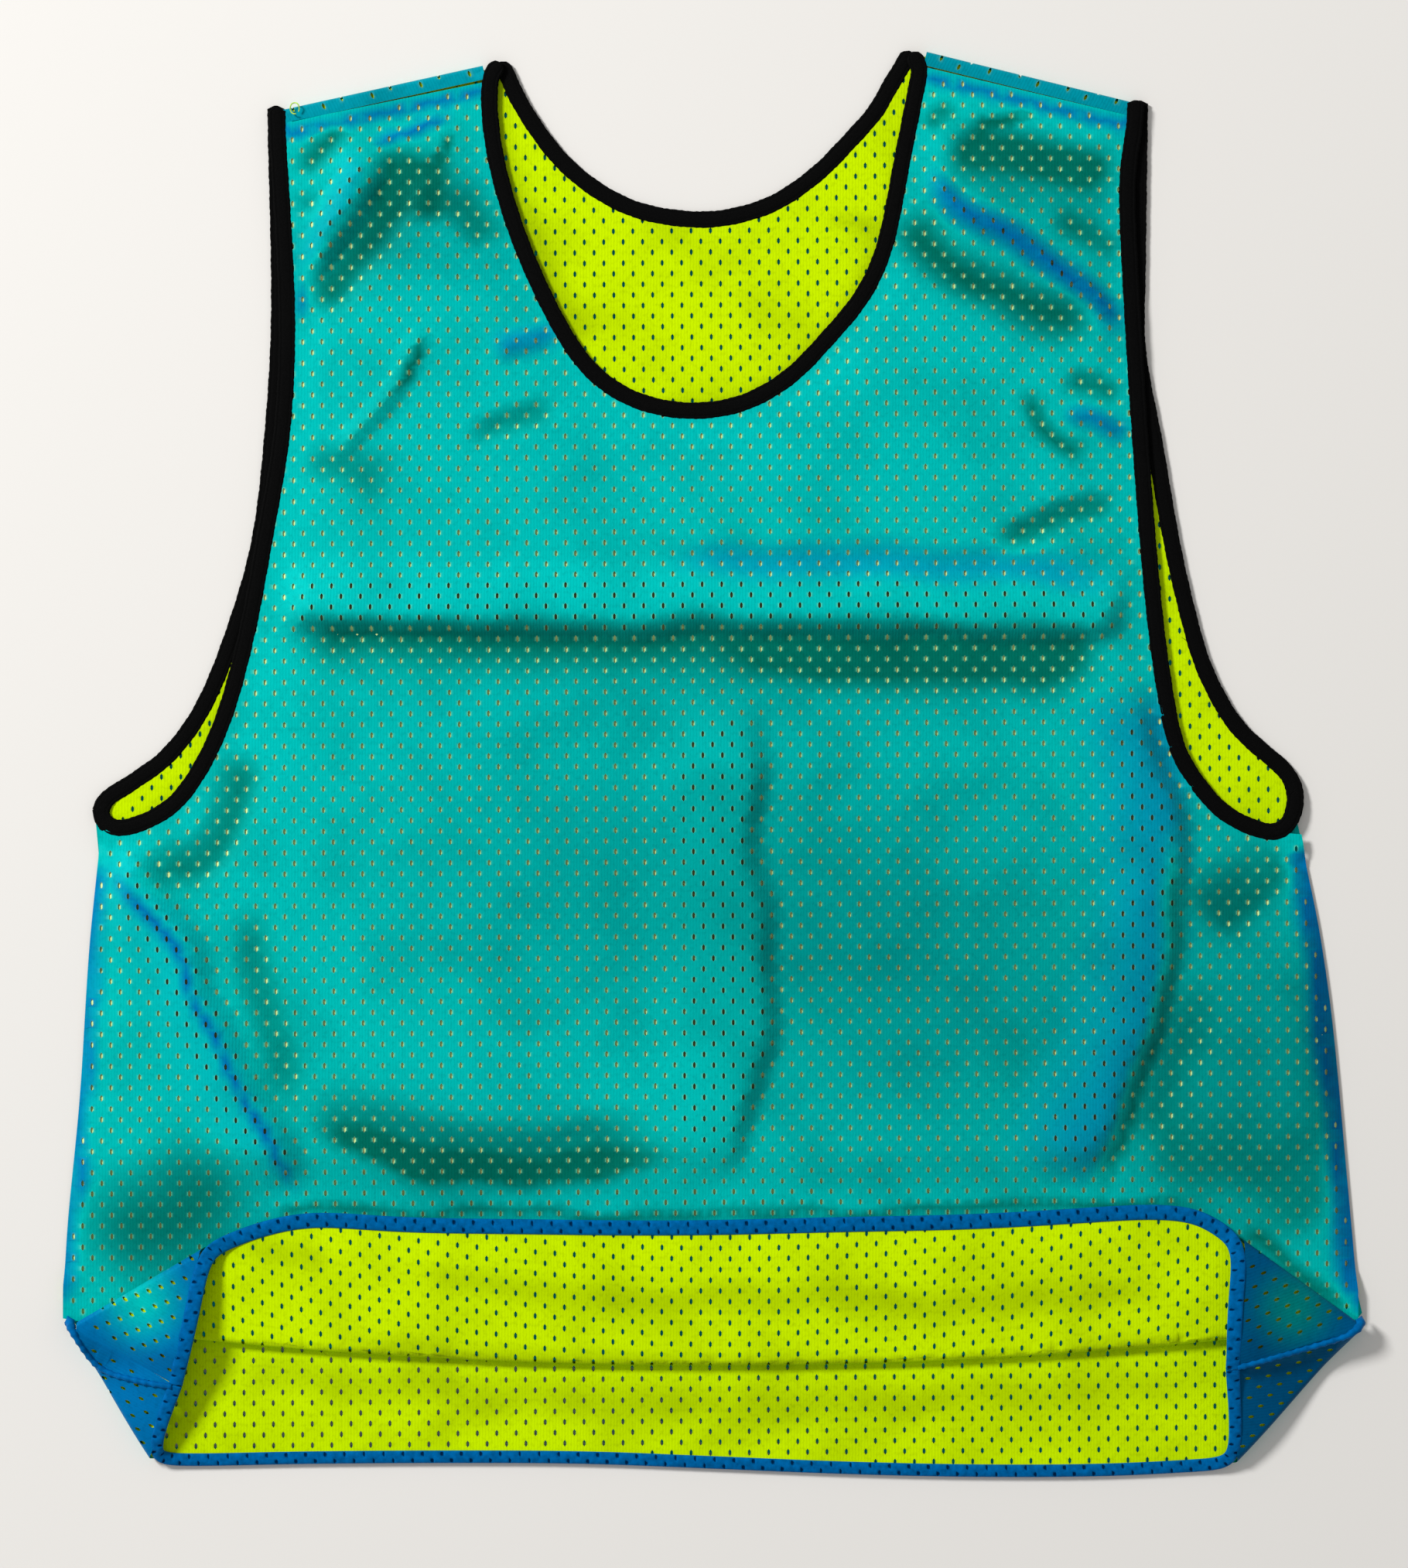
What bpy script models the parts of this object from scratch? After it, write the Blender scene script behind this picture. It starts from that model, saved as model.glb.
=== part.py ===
"""A reversible two-layer mesh training bib, laid flat with the front of its hem turned up.

The garment lies on its back on the plane z = 0, with +Y towards the neck. Four cloth panels lie on
each other: back outer, back lining, front lining and front outer. The front panels turn up and back
over themselves along the hem fold, and both hem corners fold inwards on top, as the bottom of a paper
bag does. Every piece is drawn flat, as it is cut, given its thickness, and then folded.
Outlines are in millimetres in the plan; solids are in metres.
"""

import math

import bmesh
import bpy
from mathutils import Matrix, Vector, geometry

MM = 0.001

# Driving dimensions, in millimetres.
CLOTH = 1.0
LAYER_GAP = 0.3
SEAM_GAP = 0.35
HEM_GAP = 0.6
FOLD_GAP = 0.8
BINDING_WIDTH = 8.3
BINDING_HEIGHT = 2.3
HEM_WIDTH = 7.0
SHOULDER_SEAM_DROP = 7.5
EDGE_STEP = 14.0

# The heights of the four cloth layers, from the table up.
LAYER = CLOTH + LAYER_GAP
BACK_OUTER_Z = 0.0
BACK_LINING_Z = LAYER
FRONT_LINING_Z = 2 * LAYER
FRONT_OUTER_Z = 3 * LAYER
BACK_TOP_Z = BACK_LINING_Z + CLOTH
FRONT_TOP_Z = FRONT_OUTER_Z + CLOTH

# A fold turns a pair of layers about an axis just above them.
FOLD_REACH = BACK_TOP_Z + FOLD_GAP / 2
FOLD_RADIUS = (FOLD_REACH + FOLD_GAP / 2) / 2
FOLD_ARC = math.pi * FOLD_RADIUS
HEM_AXIS_Z = FRONT_LINING_Z + FOLD_REACH
FLAP_TOP_Z = 2 * HEM_AXIS_Z - FRONT_LINING_Z
FRONT_CORNER_AXIS_Z = FLAP_TOP_Z + FOLD_GAP / 2
BACK_CORNER_AXIS_Z = FOLD_REACH
CORNER_RISE = (2 * FRONT_CORNER_AXIS_Z - FLAP_TOP_Z) - (2 * BACK_CORNER_AXIS_Z - BACK_TOP_Z)
FOLD_STEPS = (0.0, 0.25, 0.5, 0.75, 1.0)
LINE_OVERRUN = 6.0
# How far above the hem fold's axis the side seams end, so that the roll starts from the notch.
ROLL_CLEARANCE = 0.5
# Rounds in which the crossing of a corner fold and the hem fold is found.
SOLVE_ROUNDS = 8
SEAM_START = 2 * FOLD_REACH
CORNER_START = 11.0
# How far along a corner fold its cross lines lie: closest where it climbs over the hem fold.
CORNER_STEPS = (0.0, 0.07, 0.15, 0.25, 0.4, 0.7, 1.0)
SEAM_STEPS = (0.0, 0.15, 0.3, 0.5, 0.75, 1.0)
# How far past the hem fold the lines lie along which a folded corner comes down.
CLIMB_STEPS = (1.5, 7.0, 13.0)
CLIMB_PITCH = 7.0
CLIMB_CLEARANCE = 1.5

# The shoulder edge turns the back panels over to the seam on the front.
SHOULDER_REACH = FRONT_TOP_Z / 2
SHOULDER_RADIUS = SHOULDER_REACH / 2
SHOULDER_ARC = math.pi * SHOULDER_RADIUS
SHOULDER_PARTS = 4

# The hem fold sags between the two side seams.
HEM_FOLD_MIDDLE_Y = -296.0
HEM_FOLD_RISE = 20.0
HALF_WIDTH = 316.0
CORNER_SLOPE_LENGTH = 18.0

# Named corners of the plan for each side: side seam at the fold (V), end of the fold on the front hem
# (T), side seam at the hem (M) and end of the fold on the back hem (B). Columns: across, along.
CORNERS = {
    "left": {"V": (-315.0, -276.1), "T": (-245.0, -235.0), "M": (-260.0, -304.0), "B": (-273.5, -344.5)},
    "right": {"V": (318.0, -275.7), "T": (255.5, -230.5), "M": (251.5, -296.0), "B": (253.5, -346.5)},
}

# The top edge of each shoulder, from the armhole to the neck. Columns: across, along.
SHOULDERS = {
    "left": ((-207.6, 319.5), (-116.5, 339.6)),
    "right": ((201.9, 323.4), (108.8, 346.3)),
}

# Edges of the panels beside the bindings, and the side seams. Columns: across, along.
ARMHOLE_FRONT = {
    "left": (
        (-208.3, 311.4), (-203.5, 219.0), (-205.8, 161.5), (-214.5, 107.5), (-223.8, 58.5),
        (-236.1, 15.5), (-252.4, -15.5), (-268.7, -30.5), (-298.5, -38.5),
    ),
    "right": (
        (202.3, 315.2), (198.3, 285.0), (199.4, 241.0), (204.7, 153.0), (210.3, 82.5),
        (215.7, 38.5), (222.5, 5.5), (233.5, -14.0), (248.6, -30.0), (266.4, -37.5), (287.5, -40.0),
    ),
}
ARMHOLE_BACK = {
    "left": (
        (-209.2, 313.0), (-207.5, 219.0), (-210.6, 161.5), (-217.5, 105.0), (-231.5, 57.0),
        (-246.7, 21.5), (-264.0, -1.5), (-281.0, -14.5), (-299.0, -33.5),
    ),
    "right": (
        (204.4, 315.5), (203.4, 241.0), (203.4, 201.5), (211.8, 154.5), (220.6, 104.0),
        (229.5, 65.5), (237.0, 42.0), (251.7, 15.5), (271.0, -4.0), (278.5, -16.0), (283.5, -36.0),
    ),
}
SIDE_SEAM = {
    "left": ((-300.5, -46.0), (-305.2, -93.5), (-309.8, -165.5), (-315.5, -225.0), (-317.5, -258.0)),
    "right": ((290.2, -49.5), (297.3, -85.0), (303.6, -130.0), (310.4, -202.5), (315.6, -260.0)),
}
NECK_FRONT = (
    (-114.0, 331.8), (-112.6, 306.8), (-107.3, 280.3), (-96.3, 247.3), (-78.5, 209.8), (-63.3, 188.2),
    (-45.5, 174.9), (-25.8, 168.1), (-4.2, 166.6), (17.8, 171.1), (39.8, 183.6), (59.5, 203.3),
    (77.3, 225.3), (88.3, 249.6), (98.2, 298.1), (106.2, 338.6),
)
NECK_BACK = (
    (-103.8, 330.0), (-91.7, 309.1), (-76.2, 289.4), (-56.5, 273.8), (-34.5, 264.0),
    (-4.2, 260.2), (17.8, 263.6), (35.2, 270.4), (55.3, 284.8), (70.5, 300.4), (83.8, 315.5),
    (93.6, 333.3),
)
# How the neck's strands run on past the shoulder seams at their left and right ends.
NECK_STRANDS = (
    ("neck_binding_front", NECK_FRONT, ((1.5, 9.0), (-2.4, 9.0)), FRONT_LINING_Z),
    ("neck_binding_back", NECK_BACK, ((-4.5, 10.0), (4.5, 12.0)), BACK_OUTER_Z),
)

# The finished hem edge where it lies, in stretches between the corners. Columns: across, along.
FLAP_HEM = (
    (-230.4, -230.2), (-217.2, -225.0), (-197.5, -221.3), (-151.2, -223.8), (-85.3, -224.9),
    (-4.2, -225.3), (61.8, -223.8), (127.7, -222.3), (193.7, -218.5), (220.0, -218.2), (241.0, -225.0),
)
BOTTOM_HEM = (
    (-273.5, -344.5), (-195.2, -343.6), (-129.2, -343.2), (-63.3, -343.6), (-4.2, -345.8),
    (61.8, -348.5), (127.7, -350.0), (193.7, -349.6), (253.5, -346.5),
)

# The largest soft creases of the front. Columns: half width, height, then points across and along.
CREASES = (
    (24.0, 4.5, ((-205.0, 74.0), (-90.0, 70.0), (60.0, 72.0), (200.0, 66.0))),
    (20.0, 3.8, ((14.0, 34.0), (10.0, -90.0), (11.0, -215.0))),
    (18.0, 4.0, ((-286.0, -44.0), (-253.0, -90.0), (-230.0, -142.0), (-200.0, -214.0))),
    (26.0, 4.2, ((214.0, 46.0), (216.0, -60.0), (196.0, -130.0), (131.0, -214.0))),
    (18.0, 3.0, ((-205.0, -168.0), (-157.0, -176.0), (-110.0, -190.0), (-24.0, -188.0))),
    (20.0, 3.6, ((-130.0, 222.0), (-170.0, 176.0), (-205.0, 138.0))),
    (22.0, 3.6, ((102.0, 270.0), (146.0, 228.0), (194.0, 214.0))),
    (20.0, 3.2, ((-196.0, 282.0), (-157.0, 300.0), (-122.0, 290.0))),
)
CREASE_MARGIN = 2.0
CREASE_FADE = 16.0
CREASE_END_Y = -212.0

# Net sizes: the visible front is the finest. The clearance is the share of a net's pitch that its
# points keep from edges and fold lines. Points closer than the merge distance become one.
FINE_NET = 21.0
FINE_FOLD_STEP = 31.5
COARSE_NET = 46.0
NET_CLEARANCE = 0.45
MERGE = 0.15
SHARP_ANGLE = 40.0

# The section of a binding. Columns: share of the half width, share of the height.
BINDING_SECTION = (
    (-1.0, 0.25), (-0.86, 0.0), (0.86, 0.0), (1.0, 0.25), (1.0, 0.7), (0.7, 1.0), (-0.7, 1.0), (-1.0, 0.7),
)


def clear_scene():
    """Remove what a new file holds."""
    for item in list(bpy.data.objects):
        bpy.data.objects.remove(item)


def material(name, colour, roughness):
    """A Principled material with one colour."""
    made = bpy.data.materials.new(name)
    made.use_nodes = True
    shader = made.node_tree.nodes["Principled BSDF"]
    shader.inputs["Base Color"].default_value = (*colour, 1.0)
    shader.inputs["Roughness"].default_value = roughness
    shader.inputs["Metallic"].default_value = 0.0
    return made


def smoothstep(share):
    """A soft step from 0 to 1."""
    share = max(0.0, min(1.0, share))
    return share * share * (3 - 2 * share)


def smooth(points, step=EDGE_STEP):
    """Points about one step apart on a smooth curve through the given points."""
    knots = [Vector(p) for p in points]
    curve = [knots[0]]
    for i in range(len(knots) - 1):
        start, end = knots[i], knots[i + 1]
        before = knots[max(i - 1, 0)]
        after = knots[min(i + 2, len(knots) - 1)]
        reach = (end - start).length / 3
        leaving = start + (end - before).normalized() * reach
        arriving = end - (after - start).normalized() * reach
        count = max(2, round((end - start).length / step) + 1)
        curve += geometry.interpolate_bezier(start, leaving, arriving, end, count)[1:]
    return [Vector((p.x, p.y)) for p in curve]


def offset(curve, distance):
    """The curve moved to its own left."""
    moved = []
    for i, point in enumerate(curve):
        along = (curve[min(i + 1, len(curve) - 1)] - curve[max(i - 1, 0)]).normalized()
        moved.append(point + Vector((-along.y, along.x)) * distance)
    return moved


def reverse(curve):
    """The curve run the other way."""
    return curve[::-1]


def hem_fold_y(x):
    """How far along the garment the hem fold lies."""
    return HEM_FOLD_MIDDLE_Y + HEM_FOLD_RISE * (x / HALF_WIDTH) ** 2


def hem_axis_y(x):
    """The hem fold's axis, whose roll reaches down to the fold line."""
    return hem_fold_y(x) + FOLD_REACH


def turn(distance, height, axis_z, radius, arc):
    """Roll a point over an axis: how far past it the point then lies, and its height."""
    if distance <= 0:
        return distance, height
    arm = axis_z - height
    if distance >= arc:
        return arc - distance, axis_z + arm
    angle = distance / radius
    return arm * math.sin(angle), axis_z - arm * math.cos(angle)


def line_frame(start, end, inside):
    """A fold line's start, its direction, and its normal away from a point inside."""
    start, end, inside = Vector(start), Vector(end), Vector(inside)
    along = (end - start).normalized()
    away = Vector((along.y, -along.x))
    if away.dot(inside - start) > 0:
        away = -away
    return start, along, away


FLAP_MIDDLE = (0.0, -260.0)
FRONT_FOLDS = {side: line_frame(c["V"], c["T"], FLAP_MIDDLE) for side, c in CORNERS.items()}
BACK_FOLDS = {side: line_frame(c["V"], c["B"], FLAP_MIDDLE) for side, c in CORNERS.items()}
SHOULDER_FOLDS = {side: line_frame(*ends, FLAP_MIDDLE) for side, ends in SHOULDERS.items()}


def turn_over_line(point, frame, axis_z, reach, radius, arc):
    """Fold a point over a straight line of the plan."""
    start, _, away = frame
    distance = (point.xy - start).dot(away) + reach
    if distance <= 0:
        return point
    turned, height = turn(distance, point.z, axis_z, radius, arc)
    plan = point.xy + away * (turned - distance)
    return Vector((plan.x, plan.y, height))


def unfold_over_line(plan, frame, reach, arc):
    """Where a folded point of the plan lay before its fold over a straight line."""
    start, _, away = frame
    turned = (plan - start).dot(away) + reach
    return plan + away * (arc - 2 * turned)


def unfold_flap(plan):
    """Where a point of the turned-up flap lay before the hem fold."""
    return Vector((plan.x, 2 * hem_axis_y(plan.x) - FOLD_ARC - plan.y))


def unfold_front_corner(plan, side):
    """Where a point of the front's folded corner lay when flat."""
    return unfold_flap(unfold_over_line(plan, FRONT_FOLDS[side], FOLD_REACH, FOLD_ARC))


def unfold_shoulder(plan, side):
    """Where a point of the strip turned over the shoulder lay when flat."""
    return unfold_over_line(plan, SHOULDER_FOLDS[side], SHOULDER_REACH, SHOULDER_ARC)


def below_fold(point):
    """0 at the hem fold, 1 where the cloth on top of it has come down to the back."""
    return smoothstep((hem_fold_y(point.x) - point.y - CLIMB_STEPS[0]) / CORNER_SLOPE_LENGTH)


def fold_front(point):
    """Take a point of the flat front to where it lies."""
    axis_y = hem_axis_y(point.x)
    turned, height = turn(axis_y - point.y, point.z, HEM_AXIS_Z, FOLD_RADIUS, FOLD_ARC)
    point = Vector((point.x, axis_y - turned, height))
    if point.z > HEM_AXIS_Z:
        side = "left" if point.x < 0 else "right"
        frame = FRONT_FOLDS[side]
        point = turn_over_line(point, frame, FRONT_CORNER_AXIS_Z, FOLD_REACH, FOLD_RADIUS, FOLD_ARC)
    over = max(0.0, min(1.0, (point.z - FLAP_TOP_Z) / FOLD_GAP))
    point.z -= CORNER_RISE * below_fold(point) * over
    return point


def fold_back(point):
    """Take a point of the flat back to where it lies."""
    side = "left" if point.x < 0 else "right"
    if point.y > 0:
        frame = SHOULDER_FOLDS[side]
        return turn_over_line(point, frame, SHOULDER_REACH, SHOULDER_REACH, SHOULDER_RADIUS, SHOULDER_ARC)
    frame = BACK_FOLDS[side]
    point = turn_over_line(point, frame, BACK_CORNER_AXIS_Z, FOLD_REACH, FOLD_RADIUS, FOLD_ARC)
    over = max(0.0, min(1.0, (point.z - BACK_TOP_Z) / FOLD_GAP))
    point.z += CORNER_RISE * (1 - below_fold(point)) * over
    return point


def distance_to_line(plan, points):
    """The distance from a point to an open line of points."""
    nearest = math.inf
    for i in range(len(points) - 1):
        foot, share = geometry.intersect_point_line(plan, points[i], points[i + 1])
        foot = points[i] if share < 0 else points[i + 1] if share > 1 else foot.xy
        nearest = min(nearest, (plan - foot).length)
    return nearest


def crease_height(plan, outline):
    """How far the front's largest creases lift it, falling to nothing at its edges and at the flap."""
    lift = 0.0
    for half_width, height, points in CREASES:
        away = distance_to_line(plan, [Vector(p) for p in points])
        lift += height * (1 - smoothstep(away / half_width))
    edge = smoothstep((distance_to_line(plan, outline + outline[:1]) - CREASE_MARGIN) / CREASE_FADE)
    flap = smoothstep((plan.y - CREASE_END_Y) / CREASE_FADE)
    return lift * edge * flap


def inside(plan, outline):
    """Whether a point of the plan lies inside a closed outline."""
    found = False
    for i, end in enumerate(outline):
        start = outline[i - 1]
        if (start.y > plan.y) != (end.y > plan.y):
            share = (plan.y - start.y) / (end.y - start.y)
            if plan.x < start.x + (end.x - start.x) * share:
                found = not found
    return found


def net_points(outline, lines, pitch):
    """Points of a staggered net inside an outline, clear of its edge and of the fold lines."""
    low_x, high_x = min(p.x for p in outline), max(p.x for p in outline)
    low_y, high_y = min(p.y for p in outline), max(p.y for p in outline)
    fences = [outline + outline[:1]] + lines
    points = []
    for row in range(int((high_y - low_y) / pitch) + 1):
        for column in range(int((high_x - low_x) / pitch) + 2):
            plan = Vector((low_x + (column + 0.5 * (row % 2)) * pitch, low_y + (row + 0.5) * pitch))
            clear = all(distance_to_line(plan, fence) > NET_CLEARANCE * pitch for fence in fences)
            if clear and inside(plan, outline):
                points.append(plan)
    return points


def triangulate(outline, lines, points):
    """Triangles that fill an outline and keep its edge and the fold lines."""
    verts, edges = list(outline), []
    edges += [(i, (i + 1) % len(outline)) for i in range(len(outline))]
    for line in lines:
        first = len(verts)
        verts += line
        edges += [(first + i, first + i + 1) for i in range(len(line) - 1)]
    verts += points
    plan, _, faces, *_ = geometry.delaunay_2d_cdt(verts, edges, [], 0, MERGE)
    kept = [f for f in faces if inside(sum((plan[i] for i in f), Vector((0, 0))) / 3, outline)]
    return plan, kept


def slab(name, outline, lines, points, low, high, place, finish):
    """A sheet cut to an outline, given its thickness from low to high, then put in its place."""
    plan, faces = triangulate(outline, lines, points)
    mesh = bmesh.new()
    corners = [mesh.verts.new((p.x, p.y, low)) for p in plan]
    for face in faces:
        mesh.faces.new([corners[i] for i in face])
    for loose in [v for v in mesh.verts if not v.link_faces]:
        mesh.verts.remove(loose)
    bmesh.ops.remove_doubles(mesh, verts=mesh.verts[:], dist=MERGE)
    risen = bmesh.ops.extrude_face_region(mesh, geom=mesh.faces[:], use_keep_orig=True)
    for item in risen["geom"]:
        if isinstance(item, bmesh.types.BMVert):
            item.co.z = high
    bmesh.ops.triangulate(mesh, faces=mesh.faces[:])
    bmesh.ops.recalc_face_normals(mesh, faces=mesh.faces[:])
    for vert in mesh.verts:
        vert.co = place(vert.co.copy())
    return finish_piece(name, mesh, finish)


def finish_piece(name, mesh, finish):
    """Bring a piece to metres and give it its material."""
    mesh.transform(Matrix.Scale(MM, 4))
    data = bpy.data.meshes.new(name)
    mesh.to_mesh(data)
    mesh.free()
    data.shade_smooth()
    data.set_sharp_from_angle(angle=math.radians(SHARP_ANGLE))
    data.materials.append(finish)
    piece = bpy.data.objects.new(name, data)
    bpy.context.scene.collection.objects.link(piece)
    return piece


def shoulder_points(side, drop):
    """The ends of a line that lies a drop below the top edge of a shoulder, armhole end first."""
    _, _, away = SHOULDER_FOLDS[side]
    return [Vector(end) - away * drop for end in SHOULDERS[side]]


def notch_x(side):
    """Where the roll of the hem fold stops beside the front's corner fold."""
    start, _, away = FRONT_FOLDS[side]
    across = start.x
    for _ in range(SOLVE_ROUNDS):
        rise = hem_axis_y(across) - start.y
        across = start.x - (FOLD_REACH + rise * away.y) / away.x
    return across


def corner_seam(side, across):
    """Points of a folded corner's side seam where it lies, from the fold to the hem."""
    start, end = Vector(CORNERS[side]["V"]), Vector(CORNERS[side]["M"])
    first = start + (end - start).normalized() * CORNER_START
    return [first.lerp(end, share) + Vector((0, across)) for share in SEAM_STEPS]


def front_seam(side):
    """The folded front corner's side seam, flat."""
    start, end = Vector(CORNERS[side]["V"]), Vector(CORNERS[side]["M"])
    first = start + (end - start).normalized() * SEAM_START + Vector((0, SEAM_GAP / 2))
    return [unfold_front_corner(p, side) for p in [first] + corner_seam(side, SEAM_GAP / 2)]


def back_seam(side):
    """The folded back corner's side seam, flat."""
    frame = BACK_FOLDS[side]
    return [unfold_over_line(p, frame, FOLD_REACH, FOLD_ARC) for p in corner_seam(side, -SEAM_GAP / 2)]


def front_hem():
    """The front's finished hem when flat, from the left side seam to the right."""
    left, right = CORNERS["left"], CORNERS["right"]
    above = Vector((0, SEAM_GAP / 2))
    rises = []
    for side, corner in (("left", left), ("right", right)):
        start, end = Vector(corner["M"]) + above, Vector(corner["T"])
        rises.append([unfold_front_corner(start.lerp(end, share), side) for share in (0.0, 0.5)])
    flap = [unfold_flap(Vector(p)) for p in (left["T"], *FLAP_HEM, right["T"])]
    return smooth(rises[0] + flap + reverse(rises[1]))


def back_hem():
    """The back's finished hem when flat, from the left side seam to the right."""
    below = Vector((0, -SEAM_GAP / 2))
    ends = []
    for side in ("left", "right"):
        start, end = Vector(CORNERS[side]["M"]) + below, Vector(CORNERS[side]["B"])
        frame = BACK_FOLDS[side]
        ends.append([unfold_over_line(start.lerp(end, s), frame, FOLD_REACH, FOLD_ARC) for s in (0.0, 0.5)])
    return smooth(ends[0] + [Vector(p) for p in BOTTOM_HEM] + reverse(ends[1]))


def front_outline(hem_line):
    """The flat outline of both front panels, down the left side and round."""
    sides = {}
    for side in CORNERS:
        seam_x = SIDE_SEAM[side][-1][0]
        notch = notch_x(side)
        axis = hem_axis_y(notch)
        edge = smooth(ARMHOLE_FRONT[side]) + smooth(SIDE_SEAM[side])
        edge += [Vector((seam_x, hem_axis_y(seam_x) + ROLL_CLEARANCE)), Vector((notch, axis))]
        edge += [Vector((notch, axis - FOLD_ARC))] + front_seam(side)[:-1]
        sides[side] = edge
    neck = smooth(NECK_FRONT)
    return sides["left"] + hem_line + reverse(sides["right"]) + reverse(neck)


def back_outline(hem_line):
    """The flat outline of both back panels, down the left side and round."""
    sides = {}
    for side in CORNERS:
        start, along, away = BACK_FOLDS[side]
        clear = start + along * CORNER_START - away * FOLD_REACH
        over = shoulder_points(side, SHOULDER_REACH)
        end = [unfold_shoulder(p, side) for p in shoulder_points(side, SHOULDER_SEAM_DROP - SEAM_GAP)]
        axis_top = start + Vector((0, SEAM_START))
        edge = [end[0], over[0]] + smooth(ARMHOLE_BACK[side]) + smooth(SIDE_SEAM[side])
        edge += [axis_top, clear] + back_seam(side)[:-1]
        sides[side] = (edge, [over[1], end[1]])
    neck = smooth(NECK_BACK)
    left, left_top = sides["left"]
    right, right_top = sides["right"]
    return left + hem_line + reverse(right) + reverse(right_top) + reverse(neck) + left_top


def climb_points(side, below_seam):
    """Lines across a folded corner, on one side of its side seam, where it climbs over the hem fold."""
    corner = CORNERS[side]
    seam = line_frame(corner["V"], corner["M"], corner["B"] if below_seam else corner["T"])
    fold = BACK_FOLDS[side] if below_seam else FRONT_FOLDS[side]
    count = int(abs(corner["T"][0] - corner["V"][0]) / CLIMB_PITCH) + 2
    toward = math.copysign(CLIMB_PITCH, corner["T"][0])
    lines = []
    for step in CLIMB_STEPS:
        line = []
        for i in range(count):
            x = corner["V"][0] - toward * i
            plan = Vector((x, hem_fold_y(x) - step))
            past_seam = (plan - seam[0]).dot(seam[2])
            past_fold = (plan - fold[0]).dot(fold[2]) + FOLD_REACH
            if max(past_seam, past_fold) < -CLIMB_CLEARANCE:
                line.append(plan)
        if len(line) > 1:
            lines.append(line)
    return lines


def front_fold_lines(step):
    """Lines of the flat front along which it rolls over its hem fold and its corner folds."""
    low, high = notch_x("left"), notch_x("right")
    count = max(2, round((high - low) / step))
    columns = [low + (high - low) * i / count for i in range(count + 1)]
    lines = [[Vector((x, hem_axis_y(x) - FOLD_ARC * share)) for x in columns] for share in FOLD_STEPS]
    for side, (start, along, away) in FRONT_FOLDS.items():
        length = (Vector(CORNERS[side]["T"]) - start).length
        for share in FOLD_STEPS:
            foot = start + away * (FOLD_ARC * share - FOLD_REACH)
            first = 0.0
            for _ in range(SOLVE_ROUNDS):
                rise = hem_axis_y((foot + along * first).x) - foot.y
                first = (rise - (FOLD_GAP if share else 0)) / along.y
            reach = [first + (length + LINE_OVERRUN - first) * part for part in CORNER_STEPS]
            lines.append([unfold_flap(foot + along * d) for d in reach])
    for side in CORNERS:
        lines += [[unfold_front_corner(p, side) for p in line] for line in climb_points(side, False)]
    return lines


def back_fold_lines():
    """Lines of the flat back along which it rolls over its corner folds and its shoulders."""
    lines = []
    for side, (start, along, away) in BACK_FOLDS.items():
        length = (Vector(CORNERS[side]["B"]) - start).length
        for share in FOLD_STEPS:
            foot = start + away * (FOLD_ARC * share - FOLD_REACH)
            first = CORNER_START - (LINE_OVERRUN if share else 0)
            reach = [first + (length + LINE_OVERRUN - first) * part for part in CORNER_STEPS]
            lines.append([foot + along * d for d in reach])
    for side, (start, along, away) in SHOULDER_FOLDS.items():
        ends = [Vector(end) for end in SHOULDERS[side]]
        for share in FOLD_STEPS:
            move = away * (SHOULDER_ARC * share - SHOULDER_REACH)
            parts = [ends[0].lerp(ends[1], i / SHOULDER_PARTS) for i in range(SHOULDER_PARTS + 1)]
            lines.append([part + move for part in parts])
    for side, frame in BACK_FOLDS.items():
        for line in climb_points(side, True):
            lines.append([unfold_over_line(p, frame, FOLD_REACH, FOLD_ARC) for p in line])
    return lines


def build_fronts(finishes):
    """The front's outer panel and lining, and the rolled hem that closes them."""
    hem = front_hem()
    outline = front_outline(offset(hem, HEM_WIDTH + HEM_GAP))
    coarse_lines = front_fold_lines(COARSE_NET)
    fine_lines = front_fold_lines(FINE_FOLD_STEP)
    coarse = net_points(outline, coarse_lines, COARSE_NET)
    fine = [p for p in net_points(outline, fine_lines, FINE_NET) if p.y > CREASE_END_Y - FINE_NET]
    fine += [p for p in coarse if p.y < CREASE_END_Y - COARSE_NET]

    def place_outer(point):
        if point.y > CREASE_END_Y:
            return point + Vector((0, 0, crease_height(point.xy, outline)))
        return fold_front(point)

    lining_top = FRONT_LINING_Z + CLOTH
    slab("front_lining", outline, coarse_lines, coarse, FRONT_LINING_Z, lining_top, fold_front, finishes["lime"])
    slab("front_outer", outline, fine_lines, fine, FRONT_OUTER_Z, FRONT_TOP_Z, place_outer, finishes["teal"])
    band = hem + reverse(offset(hem, HEM_WIDTH))
    corner_lines = coarse_lines[len(FOLD_STEPS):]
    slab("hem_front", band, corner_lines, [], FRONT_LINING_Z, FRONT_TOP_Z, fold_front, finishes["blue"])


def build_backs(finishes):
    """The back's outer panel and lining, and the rolled hem that closes them."""
    hem = back_hem()
    outline = back_outline(offset(hem, HEM_WIDTH + HEM_GAP))
    lines = back_fold_lines()
    points = net_points(outline, lines, COARSE_NET)
    slab("back_outer", outline, lines, points, BACK_OUTER_Z, CLOTH, fold_back, finishes["teal"])
    slab("back_lining", outline, lines, points, BACK_LINING_Z, BACK_TOP_Z, fold_back, finishes["lime"])
    band = hem + reverse(offset(hem, HEM_WIDTH))
    corner_lines = lines[:2 * len(FOLD_STEPS)]
    slab("hem_back", band, corner_lines, [], BACK_OUTER_Z, BACK_TOP_Z, fold_back, finishes["blue"])


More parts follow.
